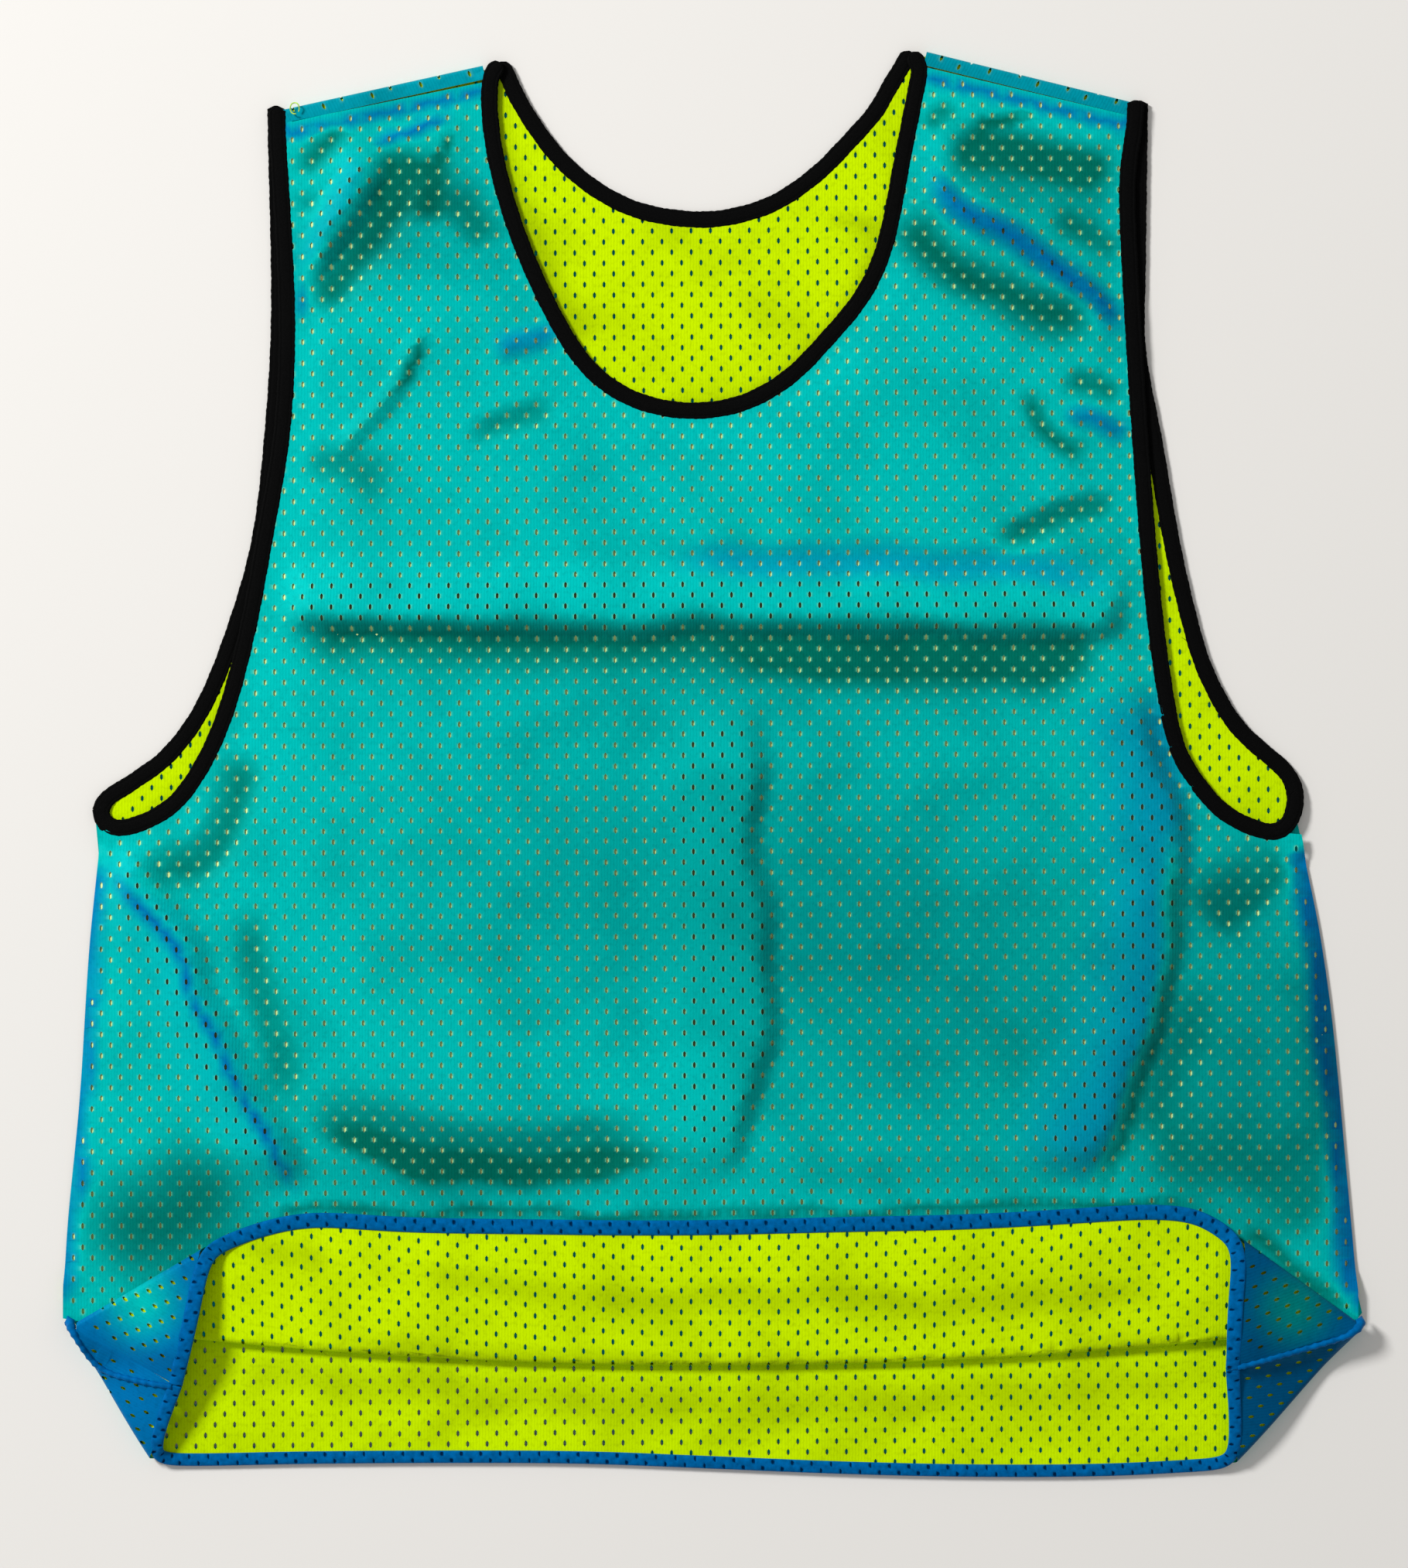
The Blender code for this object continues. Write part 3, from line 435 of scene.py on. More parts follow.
def below_fold(points):
    """0 at the hem fold, 1 where the cloth on top of it has come down to the back."""
    return smoothstep((hem_fold_y(points[:, 0]) - points[:, 1] - CLIMB_START) / CORNER_SLOPE_LENGTH)


def fold_front(points):
    """Take points of the flat front to where they lie."""
    axis_y = hem_axis_y(points[:, 0])
    turned, height = turn(axis_y - points[:, 1], points[:, 2], HEM_AXIS_Z, FOLD_RADIUS, FOLD_ARC)
    points = np.column_stack((points[:, 0], axis_y - turned, height))
    for side, sign in SIDES:
        mask = (points[:, 2] > HEM_AXIS_Z) & (points[:, 0] * sign > 0)
        line = FRONT_FOLDS[side]
        folded = turn_over_line(points[mask], line, FRONT_CORNER_AXIS_Z, FOLD_REACH, FOLD_RADIUS, FOLD_ARC)
        points[mask] = folded
    over = np.clip((points[:, 2] - FLAP_TOP_Z) / FOLD_GAP, 0.0, 1.0)
    points[:, 2] -= CORNER_RISE * below_fold(points) * over
    return lift_corners(points, over)


def lift_corners(points, over):
    """Raise the folded corners towards their hems."""
    for side, sign in SIDES:
        mask = (points[:, 0] * sign > 0) & (over > 0)
        points[mask, 2] += corner_lift(points[mask], side) * over[mask]
    return points


def fold_back(points):
    """Take points of the flat back to where they lie."""
    points = points.copy()
    for side, sign in SIDES:
        on_side = points[:, 0] * sign > 0
        top = on_side & (points[:, 1] > 0)
        low = on_side & (points[:, 1] <= 0)
        points[top] = turn_over_line(
            points[top], SHOULDER_FOLDS[side], SHOULDER_REACH, SHOULDER_REACH, SHOULDER_RADIUS, SHOULDER_ARC
        )
        points[low] = turn_over_line(
            points[low], BACK_FOLDS[side], BACK_CORNER_AXIS_Z, FOLD_REACH, FOLD_RADIUS, FOLD_ARC
        )
    low = points[:, 1] < 0
    over = np.clip((points[:, 2] - BACK_TOP_Z) / FOLD_GAP, 0.0, 1.0) * low
    points[:, 2] += CORNER_RISE * (1 - below_fold(points)) * over
    return lift_corners(points, over)


def unfold_over_line(plan, line, reach, arc):
    """Where a folded point of the plan lay before its fold over a straight line."""
    start, _, away = line
    turned = (plan - start).dot(away) + reach
    return plan + away * (arc - 2 * turned)


def unfold_flap(plan):
    """Where a point of the turned-up flap lay before the hem fold."""
    return Vector((plan.x, 2 * hem_axis_y(plan.x) - FOLD_ARC - plan.y))


def unfold_front_corner(plan, side):
    """Where a point of the front's folded corner lay when flat."""
    return unfold_flap(unfold_over_line(plan, FRONT_FOLDS[side], FOLD_REACH, FOLD_ARC))


def unfold_shoulder(plan, side):
    """Where a point of the strip turned over the shoulder lay when flat."""
    return unfold_over_line(plan, SHOULDER_FOLDS[side], SHOULDER_REACH, SHOULDER_ARC)


def shoulder_points(side, drop):
    """The ends of a line that lies a drop below the top edge of a shoulder, armhole end first."""
    _, _, away = SHOULDER_FOLDS[side]
    return [Vector(end) - away * drop for end in SHOULDERS[side]]


def notch_x(side):
    """Where the roll of the hem fold stops beside the front's corner fold."""
    start, _, away = FRONT_FOLDS[side]
    across = start.x
    for _ in range(8):
        rise = hem_axis_y(across) - start.y
        across = start.x - (FOLD_REACH + rise * away.y) / away.x
    return across


def corner_seam(side):
    """Points of a folded corner's side seam where it lies, from the fold to the hem."""
    start, end = Vector(CORNERS[side]["V"]), Vector(CORNERS[side]["M"])
    first = start + (end - start).normalized() * CORNER_START
    return [first.lerp(end, share) for share in (0.0, 0.25, 0.5, 0.75, 1.0)]


def front_seam(side):
    """The folded front corner's side seam, flat."""
    start, end = Vector(CORNERS[side]["V"]), Vector(CORNERS[side]["M"])
    first = start + (end - start).normalized() * SEAM_START
    return [unfold_front_corner(p, side) for p in [first] + corner_seam(side)]


def back_seam(side):
    """The folded back corner's side seam, flat."""
    line = BACK_FOLDS[side]
    return [unfold_over_line(p, line, FOLD_REACH, FOLD_ARC) for p in corner_seam(side)]


def front_hem():
    """The front's finished hem when flat, from the left side seam to the right."""
    rises = {}
    for side, corner in CORNERS.items():
        start, end = Vector(corner["M"]), Vector(corner["T"])
        rises[side] = [unfold_front_corner(start.lerp(end, share), side) for share in (0.0, 0.5)]
    flap = [unfold_flap(Vector(p)) for p in (CORNERS["left"]["T"], *FLAP_HEM, CORNERS["right"]["T"])]
    return smooth(rises["left"] + flap + reverse(rises["right"]))


def back_hem():
    """The back's finished hem when flat, from the left side seam to the right."""
    ends = {}
    for side, corner in CORNERS.items():
        start, end = Vector(corner["M"]), Vector(corner["B"])
        line = BACK_FOLDS[side]
        ends[side] = [unfold_over_line(start.lerp(end, s), line, FOLD_REACH, FOLD_ARC) for s in (0.0, 0.5)]
    return smooth(ends["left"] + [Vector(p) for p in BOTTOM_HEM] + reverse(ends["right"]))


def front_outline(hem_line):
    """The flat outline of both front panels, down the left side and round."""
    sides = {}
    for side, sign in SIDES:
        seam_x = SIDE_SEAM[side][-1][0]
        notch = notch_x(side)
        axis = hem_axis_y(notch)
        edge = offset(smooth(ARMHOLE_FRONT[side]), TUCK * sign) + smooth(SIDE_SEAM[side])
        edge += [Vector((seam_x, hem_axis_y(seam_x) + 0.5)), Vector((notch, axis))]
        edge += [Vector((notch, axis - FOLD_ARC))] + front_seam(side)[:-1]
        sides[side] = edge
    neck = offset(smooth(NECK_FRONT), TUCK)
    return sides["left"] + hem_line + reverse(sides["right"]) + reverse(neck)


def back_outline(hem_line):
    """The flat outline of both back panels, down the left side and round."""
    sides = {}
    for side, sign in SIDES:
        start, along, away = BACK_FOLDS[side]
        clear = start + along * CORNER_START - away * FOLD_REACH
        over = shoulder_points(side, SHOULDER_REACH)
        end = [unfold_shoulder(p, side) for p in shoulder_points(side, SHOULDER_SEAM_DROP)]
        wide = (over[0] - over[1]).normalized() * TUCK
        axis_top = start + Vector((0, SEAM_START))
        edge = [end[0] + wide, over[0] + wide]
        edge += offset(smooth(ARMHOLE_BACK[side]), TUCK * sign) + smooth(SIDE_SEAM[side])
        edge += [axis_top, clear] + back_seam(side)[:-1]
        sides[side] = (edge, [over[1] - wide, end[1] - wide])
    neck = offset(smooth(NECK_BACK), TUCK)
    left, left_top = sides["left"]
    right, right_top = sides["right"]
    return left + hem_line + reverse(right) + reverse(right_top) + reverse(neck) + left_top


def as_array(points):
    """A list of plan points as an array of two columns."""
    return np.array([(p.x, p.y) for p in points])


def inside_outline(points, outline):
    """Which points of the plan lie inside a closed outline."""
    found = np.zeros(len(points), dtype=bool)
    for start, end in zip(np.roll(outline, 1, axis=0), outline):
        if start[1] == end[1]:
            continue
        crosses = (start[1] > points[:, 1]) != (end[1] > points[:, 1])
        share = (points[:, 1] - start[1]) / (end[1] - start[1])
        found ^= crosses & (points[:, 0] < start[0] + (end[0] - start[0]) * share)
    return found


def nearest_on_line(points, line):
    """For each point: the nearest foot on an open line, its distance, its side and how far along it is."""
    best = np.full(len(points), np.inf)
    foot = np.zeros((len(points), 2))
    side = np.zeros(len(points))
    along = np.zeros(len(points))
    run = 0.0
    for start, end in zip(line[:-1], line[1:]):
        step = end - start
        length = np.hypot(*step)
        if length == 0:
            continue
        share = np.clip(((points - start) @ step) / length**2, 0.0, 1.0)
        place = start + share[:, None] * step
        gap = np.hypot(*(points - place).T)
        closer = gap < best
        best[closer], foot[closer] = gap[closer], place[closer]
        cross = step[0] * (points[:, 1] - start[1]) - step[1] * (points[:, 0] - start[0])
        side[closer] = np.sign(cross[closer])
        along[closer] = run + share[closer] * length
        run += length
    return foot, best, side, along


def crease_lift(points, outline):
    """How far the creases lift points of the front, and their tint: blue, partly painted shade, and green painted
    shade.
    """
    lift = np.zeros(len(points))
    tint = np.zeros(len(points))
    spots = points + wander(points)
    for height, left, right, taper, shade, table in CREASES:
        line = as_array(smooth(table, 8.0))
        length = np.hypot(*np.diff(line, axis=0).T).sum()
        _, gap, side, along = nearest_on_line(spots, line)
        width = np.where(side > 0, left, right)
        ends = smoothstep(along / taper) * smoothstep((length - along) / taper)
        lift += CREASE_GAIN * height * (1 - smoothstep(gap / width)) * ends
        tint += shade * (1 - smoothstep(gap / (width * TINT_SPREAD))) * ends
    # A painted blue shadow band below each shoulder seam.
    for side, _ in SIDES:
        _, gap, _, _ = nearest_on_line(points, as_array(shoulder_points(side, SHOULDER_SEAM_DROP)))
        tint += SEAM_TINT * (1 - smoothstep(np.abs(gap - SEAM_BAND) / SEAM_BAND))
    _, gap, _, _ = nearest_on_line(points, np.vstack((outline, outline[:1])))
    crown = CROWN * smoothstep(gap / CROWN_REACH) + waves(points, WAVE_HEIGHT, 1.0)
    edge = smoothstep((gap - TUCK) / CREASE_FADE)
    flap = smoothstep((points[:, 1] - CREASE_END_Y) / FLAP_FADE)
    return np.maximum(lift + crown, 0.0) * edge * flap, np.clip(tint, -1.0, 1.0)


def wander(points):
    """Uneven sideways moves that keep the creases from running evenly."""
    spots = [Vector((x / WANDER_LENGTH, y / WANDER_LENGTH, 7.0)) for x, y in points]
    return np.array([noise.noise_vector(spot)[:2] for spot in spots]) * WANDER


def streaks(points, table):
    """How much painted shade streaks give points. Columns: half width, taper at the ends, darkness, then points."""
    shade = np.zeros(len(points))
    spots = points + wander(points)
    for width, taper, darkness, line in table:
        line = as_array(smooth(line, EDGE_STEP))
        length = np.hypot(*np.diff(line, axis=0).T).sum()
        _, gap, _, along = nearest_on_line(spots, line)
        ends = smoothstep(along / taper) * smoothstep((length - along) / taper)
        shade += darkness * (1 - smoothstep(gap / width)) * ends
    return np.clip(shade, 0.0, 1.0)


def base_shade(points):
    """How much painted shade the soft patches give points of the front."""
    shade = np.zeros(len(points))
    for across, along, reach_x, reach_y, darkness in SHADES:
        away = np.hypot((points[:, 0] - across) / reach_x, (points[:, 1] - along) / reach_y)
        shade += darkness * (1 - smoothstep(away))
    return np.clip(shade, 0.0, 1.0)


def corner_lift(points, side):
    """How far a folded corner stands up towards its hem."""
    corner = CORNERS[side]
    line = np.array((corner["T"], corner["M"], corner["B"]))
    length = np.hypot(*np.diff(line, axis=0).T).sum()
    _, gap, _, along = nearest_on_line(points[:, :2], line)
    ends = np.sin(math.pi * np.clip(along / length, 0.0, 1.0)) ** 0.7
    rise = CORNER_LIFTS[side] * (1 - smoothstep(gap / CORNER_LIFT_REACH)) * ends
    _, gap, _, _ = nearest_on_line(points[:, :2], as_array(smooth(CORNER_SEAMS[side])))
    return rise + SEAM_RIDGE * (1 - smoothstep(gap / SEAM_RIDGE_WIDTH))


def lattice(outline, slant, shift):
    """Cells of the mesh inside an outline, its rows turned by a slant and shifted.

    Gives the places of the cells' corners, each cell's six corners, the cells' middles, which cells
    have no hole, and the turn.
    """
    corners = as_array(outline)
    turn_back = np.array(((math.cos(slant), math.sin(slant)), (-math.sin(slant), math.cos(slant))))
    local = (corners - shift) @ turn_back.T
    low, high = local.min(axis=0), local.max(axis=0)
    half = HOLE_PITCH / 2
    first_column = int(low[0] / half) - 2
    columns = int((high[0] - low[0]) / half) + 6
    first_row = int(low[1] / ROW_PITCH) - 2
    rows = int((high[1] - low[1]) / ROW_PITCH) + 5
    cells = []
    for row in range(rows):
        for column in range((row + first_row + first_column) % 2, columns - 2, 2):
            cells.append((column, row))
    cells = np.array(cells)
    middles = np.column_stack(
        ((cells[:, 0] + 1 + first_column) * half, (cells[:, 1] + 0.5 + first_row) * ROW_PITCH)
    )
    middles = middles @ turn_back + shift
    cells = cells[inside_outline(middles, corners)]
    kept_middles = middles[inside_outline(middles, corners)]
    offsets = ((0, 0), (1, 0), (2, 0), (2, 1), (1, 1), (0, 1))
    keys = np.stack([(cells[:, 0] + a) + (cells[:, 1] + b) * columns for a, b in offsets], axis=1)
    unique, index, uses = np.unique(keys, return_inverse=True, return_counts=True)
    index = index.reshape(keys.shape)
    places = np.column_stack(
        ((unique % columns + first_column) * half, (unique // columns + first_row) * ROW_PITCH)
    )
    places = places @ turn_back + shift
    edge = uses < 3
    closed = np.vstack((corners, corners[:1]))
    places[edge] = nearest_on_line(places[edge], closed)[0]
    snap_corners(places, np.flatnonzero(edge), corners)
    shut = nearest_on_line(kept_middles, closed)[1] < HOLE_MARGIN
    return places, index, kept_middles, shut, turn_back


def snap_corners(places, edge, corners):
    """Move the nearest edge point onto each sharp corner of the outline."""
    before = corners - np.roll(corners, 1, axis=0)
    after = np.roll(corners, -1, axis=0) - corners
    cross = before[:, 0] * after[:, 1] - before[:, 1] * after[:, 0]
    bend = np.abs(np.arctan2(cross, (before * after).sum(axis=1)))
    for corner in corners[bend > math.radians(30)]:
        gaps = np.hypot(*(places[edge] - corner).T)
        places[edge[np.argmin(gaps)]] = corner


def cut_lines(mesh, lines, chosen):
    """Cut the chosen faces of a flat mesh along straight lines, each a point and a normal."""
    for point, normal in lines:
        crossed = []
        for face in mesh.faces:
            sides = [(v.co - point).dot(normal) for v in face.verts]
            if min(sides) < 0 < max(sides) and chosen(face.calc_center_median()):
                crossed.append(face)
        edges = {e for f in crossed for e in f.edges}
        verts = {v for f in crossed for v in f.verts}
        geom = [*crossed, *edges, *verts]
        bmesh.ops.bisect_plane(mesh, geom=geom, dist=0.02, plane_co=point, plane_no=normal)


def waves(points, height, seed):
    """Slow uneven waves of the cloth, at least 0."""
    spots = [Vector((p[0] / WAVE_LENGTH, p[1] / WAVE_LENGTH, seed)) for p in points]
    return np.array([height * (0.5 + 0.5 * noise.noise(spot)) for spot in spots])


def panel(name, outline, height, place, cut, slant, shift, bare, finish):
    """A cloth panel: a lattice of holed cells cut to its outline, then put in place.

    place takes flat points to where they lie, and gives each point's tint and shade too. The cloth is
    cut away round the bare places, where no edge of it may show.
    """
    places, cells, middles, closed, turn_back = lattice(outline, slant, np.array(shift))
    mesh = bmesh.new()
    rim_layer = mesh.verts.layers.float.new("rim")
    ring = np.array(HOLE) @ turn_back
    corners = [mesh.verts.new((x, y, 0.0)) for x, y in places]
    for cell, middle, shut in zip(cells, middles, closed):
        outer = [corners[i] for i in cell]
        if shut:
            mesh.faces.new(outer)
            continue
        hole = [mesh.verts.new((middle[0] + a, middle[1] + b, 0.0)) for a, b in ring]
        for vert in hole:
            vert[rim_layer] = 1.0
        # The hole's points start at its top; the cell's corners start at its low left.
        inner = [hole[4], hole[3], hole[2], hole[1], hole[0], hole[5]]
        for i in range(6):
            j = (i + 1) % 6
            mesh.faces.new((outer[i], outer[j], inner[j], inner[i]))
    bmesh.ops.remove_doubles(mesh, verts=corners, dist=MERGE)
    cut(mesh)
    bmesh.ops.triangulate(mesh, faces=mesh.faces[:])
    mesh.normal_update()
    bmesh.ops.delete(mesh, geom=[f for f in mesh.faces if f.normal.z < 0.5], context="FACES")
    loose = [v for v in mesh.verts if not v.link_faces]
    bmesh.ops.delete(mesh, geom=loose, context="VERTS")
    flat = np.array([v.co[:2] for v in mesh.verts])
    folded, tint, shade = place(np.column_stack((flat, np.full(len(flat), height))))
    for vert, spot in zip(mesh.verts, folded):
        vert.co = spot * MM
    gone = np.zeros(len(flat), dtype=bool)
    for across, along, radius in bare:
        gone |= np.hypot(folded[:, 0] - across, folded[:, 1] - along) < radius
    bmesh.ops.delete(mesh, geom=[v for v, lost in zip(mesh.verts, gone) if lost], context="VERTS")
    flat, tint, shade = flat[~gone], tint[~gone], shade[~gone]
    data = bpy.data.meshes.new(name)
    mesh.to_mesh(data)
    mesh.free()
    pattern = data.attributes.new("pattern", "FLOAT_VECTOR", "POINT")
    pattern.data.foreach_set("vector", np.column_stack((flat * MM, np.zeros(len(flat)))).ravel())
    data.attributes.new("tint", "FLOAT", "POINT").data.foreach_set("value", tint)
    data.attributes.new("shade", "FLOAT", "POINT").data.foreach_set("value", shade)
    return finish_piece(name, data, finish)


def finish_piece(name, data, finish):
    """Link a mesh as a smooth piece with its material."""
    data.shade_smooth()
    data.materials.append(finish)
    piece = bpy.data.objects.new(name, data)
    bpy.context.scene.collection.objects.link(piece)
    return piece


def fold_rows(line, reach, arc):
    """Planes that cut rows of edges into a roll over a straight line."""
    start, _, away = line
    normal = away.to_3d()
    return [((start + away * (arc * share - reach)).to_3d(), normal) for share in FOLD_SHARES]


def cut_front(mesh):
    """Rows of edges along the front's hem fold and corner folds, so that they roll smoothly."""
    for vert in mesh.verts:
        vert.co.y -= hem_axis_y(vert.co.x)
    up = Vector((0, 1, 0))
    cut_lines(mesh, [(Vector((0, -FOLD_ARC * share, 0)), up) for share in FOLD_SHARES], lambda m: True)
    # Mirrored, each point of the flap lies where it will once it is turned up.
    for vert in mesh.verts:
        vert.co.y = hem_axis_y(vert.co.x) - FOLD_ARC - vert.co.y
    for side, sign in SIDES:
        lines = fold_rows(FRONT_FOLDS[side], FOLD_REACH, FOLD_ARC)
        cut_lines(mesh, lines, lambda m, s=sign: m.x * s > 0 and m.y > hem_axis_y(m.x))
    for vert in mesh.verts:
        vert.co.y = 2 * hem_axis_y(vert.co.x) - FOLD_ARC - vert.co.y


def cut_back(mesh):
    """Rows of edges along the back's corner folds and shoulders."""
    for side, sign in SIDES:
        lines = fold_rows(BACK_FOLDS[side], FOLD_REACH, FOLD_ARC)
        cut_lines(mesh, lines, lambda m, s=sign: m.x * s > 0 and m.y < 0)
        lines = fold_rows(SHOULDER_FOLDS[side], SHOULDER_REACH, SHOULDER_ARC)
        cut_lines(mesh, lines, lambda m, s=sign: m.x * s > 0 and m.y > 0)


def directions(middle):
    """The direction along a line of places at each of its points."""
    steps = np.gradient(middle, axis=0)
    return steps / np.linalg.norm(steps, axis=1)[:, None]


def sweep(name, middle, section, finish, layers=()):
    """A section swept along a line of places in millimetres, kept level across.

    section gives, for each ring, columns of places across and up; layers are named values per point.
    """
    along = directions(middle)
    across = np.column_stack((-along[:, 1], along[:, 0], np.zeros(len(along))))
    across /= np.linalg.norm(across, axis=1)[:, None]
    up = np.cross(along, across)
    points = middle[:, None] + section[..., :1] * across[:, None] + section[..., 1:] * up[:, None]
    rings, size = section.shape[:2]
    faces = []
    for i in range(rings - 1):
        for j in range(size):
            k = (j + 1) % size
            faces.append((i * size + j, (i + 1) * size + j, (i + 1) * size + k, i * size + k))
    faces += [tuple(range(size)), tuple(range((rings - 1) * size, rings * size))[::-1]]
    data = bpy.data.meshes.new(name)
    data.from_pydata((points.reshape(-1, 3) * MM).tolist(), [], faces)
    for layer, values in layers:
        data.attributes.new(layer, "FLOAT", "POINT").data.foreach_set("value", values.ravel())
    mesh = bmesh.new()
    mesh.from_mesh(data)
    bmesh.ops.recalc_face_normals(mesh, faces=mesh.faces[:])
    mesh.to_mesh(data)
    mesh.free()
    return finish_piece(name, data, finish)


# The outline of a binding's section. Columns: share of the half width, share of the height.
TAPE_SECTION = np.array((
    (-1.0, 0.3), (-0.93, 0.06), (0.93, 0.06), (1.0, 0.3), (1.0, 0.62), (0.95, 0.84), (0.84, 0.97), (0.72, 1.0),
    (0.64, 0.9), (0.56, 1.0), (0.3, 1.04), (0.0, 1.05), (-0.3, 1.04), (-0.56, 1.0), (-0.64, 0.9), (-0.72, 1.0),
    (-0.84, 0.97), (-0.95, 0.84), (-1.0, 0.62),
))


def resample(points, step):
    """Places evenly about one step apart on a line of points."""
    points = np.asarray(points, dtype=float)
    run = np.concatenate(((0.0,), np.cumsum(np.linalg.norm(np.diff(points, axis=0), axis=1))))
    stations = np.linspace(0.0, run[-1], max(2, int(run[-1] / step)))
    return np.column_stack([np.interp(stations, run, column) for column in points.T])


def relax(points, rounds):
    """A line of places made smoother, its ends kept."""
    for _ in range(rounds):
        points[1:-1] = (points[:-2] + 2 * points[1:-1] + points[2:]) / 4
    return points


def tape(name, plan, heights, finish, round_start, round_end):
    """A binding along a line of the plan, its underside at the given heights, with round or cut ends."""
    middle = resample(np.column_stack((as_array(plan), heights)), TAPE_STEP)
    middle = relax(middle, 6)
    count = len(middle)
    run = np.arange(count) * TAPE_STEP
    half = np.full(count, BINDING_WIDTH / 2)
    for rounded, distance in ((round_start, run), (round_end, run[::-1])):
        radius = BINDING_WIDTH / 2 if rounded else TAPE_STEP
        near = np.clip(1 - distance / radius, 0.0, 0.97)
        half *= np.sqrt(1 - near**2)
    # The knitted tape is a little uneven along its edges and top.
    ripple = 1 + 0.03 * np.sin(run * 1.7) + 0.02 * np.sin(run * 0.43)
    section = np.empty((count, len(TAPE_SECTION), 2))
    section[..., 0] = TAPE_SECTION[:, 0] * (half * ripple)[:, None]
    section[..., 1] = TAPE_SECTION[:, 1] * BINDING_HEIGHT
    return sweep(name, middle, section, finish)


def apart_from_ends(count):
    """0 at both ends of a hem roll's rings, 1 once the rings are clear of them."""
    run = np.arange(count) * HEM_STEP
    return smoothstep(np.minimum(run, run[::-1]) / HEM_MEET_REACH)


def hem_roll(name, hem, level, place, corner_z, face, finish):
    """The turned hem: a flat roll of mesh cloth along the panels' edge, with its holes as dimples."""
    edge = resample(as_array(hem), HEM_STEP)
    folded = place(np.column_stack((edge, np.full(len(edge), level))))
    inset = np.where(folded[:, 2] > corner_z, HEM_LEG_INSETS[face], HEM_INSET)
    inset = HEM_MEET_INSET + (inset - HEM_MEET_INSET) * apart_from_ends(len(edge))
    along = directions(edge)
    flat = edge + np.column_stack((-along[:, 1], along[:, 0])) * inset[:, None]
    middle = place(np.column_stack((flat, np.full(len(flat), level))))
    middle[:, 2] += HEM_ROLL_RISE
    middle = relax(resample(middle, HEM_STEP), HEM_ROUNDING)
    count = len(middle)
    angles = np.linspace(0.0, 2 * math.pi, HEM_POINTS, endpoint=False)
    width = HEM_MEET_WIDTH + (HEM_ROLL_WIDTHS[face] - HEM_MEET_WIDTH) * apart_from_ends(count)[:, None]
    # A rounded, flattened section.
    across = np.sign(np.cos(angles)) * np.abs(np.cos(angles)) ** 0.7 * width / 2
    up = np.sign(np.sin(angles)) * np.abs(np.sin(angles)) ** 0.8 * HEM_ROLL_HEIGHT / 2
    section = np.empty((count, HEM_POINTS, 2))
    section[..., 0] = across
    section[..., 1] = up
    run = np.arange(count) * HEM_STEP
    # How deep each point lies in a hole's dimple; the hem's material paints shade there.
    hollow = np.zeros((count, HEM_POINTS))
    for row, shift in ((-0.27, 0.0), (0.27, 0.5)):
        off_along = (run / HOLE_PITCH + shift + 0.5) % 1.0 - 0.5
        near = (off_along[:, None] * HOLE_PITCH / 0.9) ** 2 + ((across - row * width) / 1.5) ** 2
        hollow = np.maximum(hollow, 1 - smoothstep(near))
    section[..., 1] -= hollow * 0.7 * np.sign(up) * (np.abs(up) > 0.3)
    return sweep(name, middle, section, finish, (("hollow", hollow),))


def corner_cord(name, side, finish):
    """The bumpy side seam that shows on a folded corner."""
    plan = smooth(CORNER_SEAMS[side], TAPE_STEP)
    flat = as_array([unfold_front_corner(p, side) for p in plan])
    height = FRONT_OUTER_Z + CLOTH / 2
    folded = fold_front(np.column_stack((flat, np.full(len(flat), height))))
    middle = np.column_stack((as_array(plan), np.maximum(folded[:, 2], height)))
    middle = relax(resample(middle, TAPE_STEP), 12)
    count = len(middle)
    angles = np.linspace(0.0, 2 * math.pi, CORD_POINTS, endpoint=False)
    run = np.arange(count) * TAPE_STEP
    bump = CORD_BUMP * np.cos(run / CORD_PITCH * 2 * math.pi)
    # It swells where it closes the corner beside the fold.
    radius = CORD_RADIUS + bump + CORD_SWELL * (1 - smoothstep(run / CORD_SWELL_LENGTH))
    radius *= smoothstep((run + TAPE_STEP) / CORD_TIP_LENGTH)
    section = np.empty((count, CORD_POINTS, 2))
    section[..., 0] = np.cos(angles) * radius[:, None]
    section[..., 1] = np.sin(angles) * radius[:, None]
    hollow = np.zeros((count, CORD_POINTS))
    return sweep(name, middle, section, finish, (("hollow", hollow),))


def cloth_nodes(name, roughness, gloss):
    """A new material with the settings that all the cloth shares."""
    made = bpy.data.materials.new(name)
    made.use_nodes = True
    shader = made.node_tree.nodes["Principled BSDF"]
    shader.inputs["Roughness"].default_value = roughness
    shader.inputs["Specular IOR Level"].default_value = gloss
    return made, shader


def mix(tree, factor, first, second):
    """Mix two colours, each a colour or a socket, by a socket."""
    node = tree.nodes.new("ShaderNodeMix")
    node.data_type = "RGBA"
    tree.links.new(factor, node.inputs["Factor"])
    for value, key in ((first, "A"), (second, "B")):
        if isinstance(value, tuple):
            node.inputs[key].default_value = (*value, 1.0)
        else:
            tree.links.new(value, node.inputs[key])
    return node.outputs["Result"]


def attribute(tree, name, output="Fac"):
    """A named value of the mesh."""
    node = tree.nodes.new("ShaderNodeAttribute")
    node.attribute_name = name
    return node.outputs[output]


def scaled(tree, value, low, high):
    """A value mapped from low..high to 0..1 and clamped."""
    node = tree.nodes.new("ShaderNodeMapRange")
    node.inputs["From Min"].default_value = low
    node.inputs["From Max"].default_value = high
    tree.links.new(value, node.inputs["Value"])
    return node.outputs["Result"]


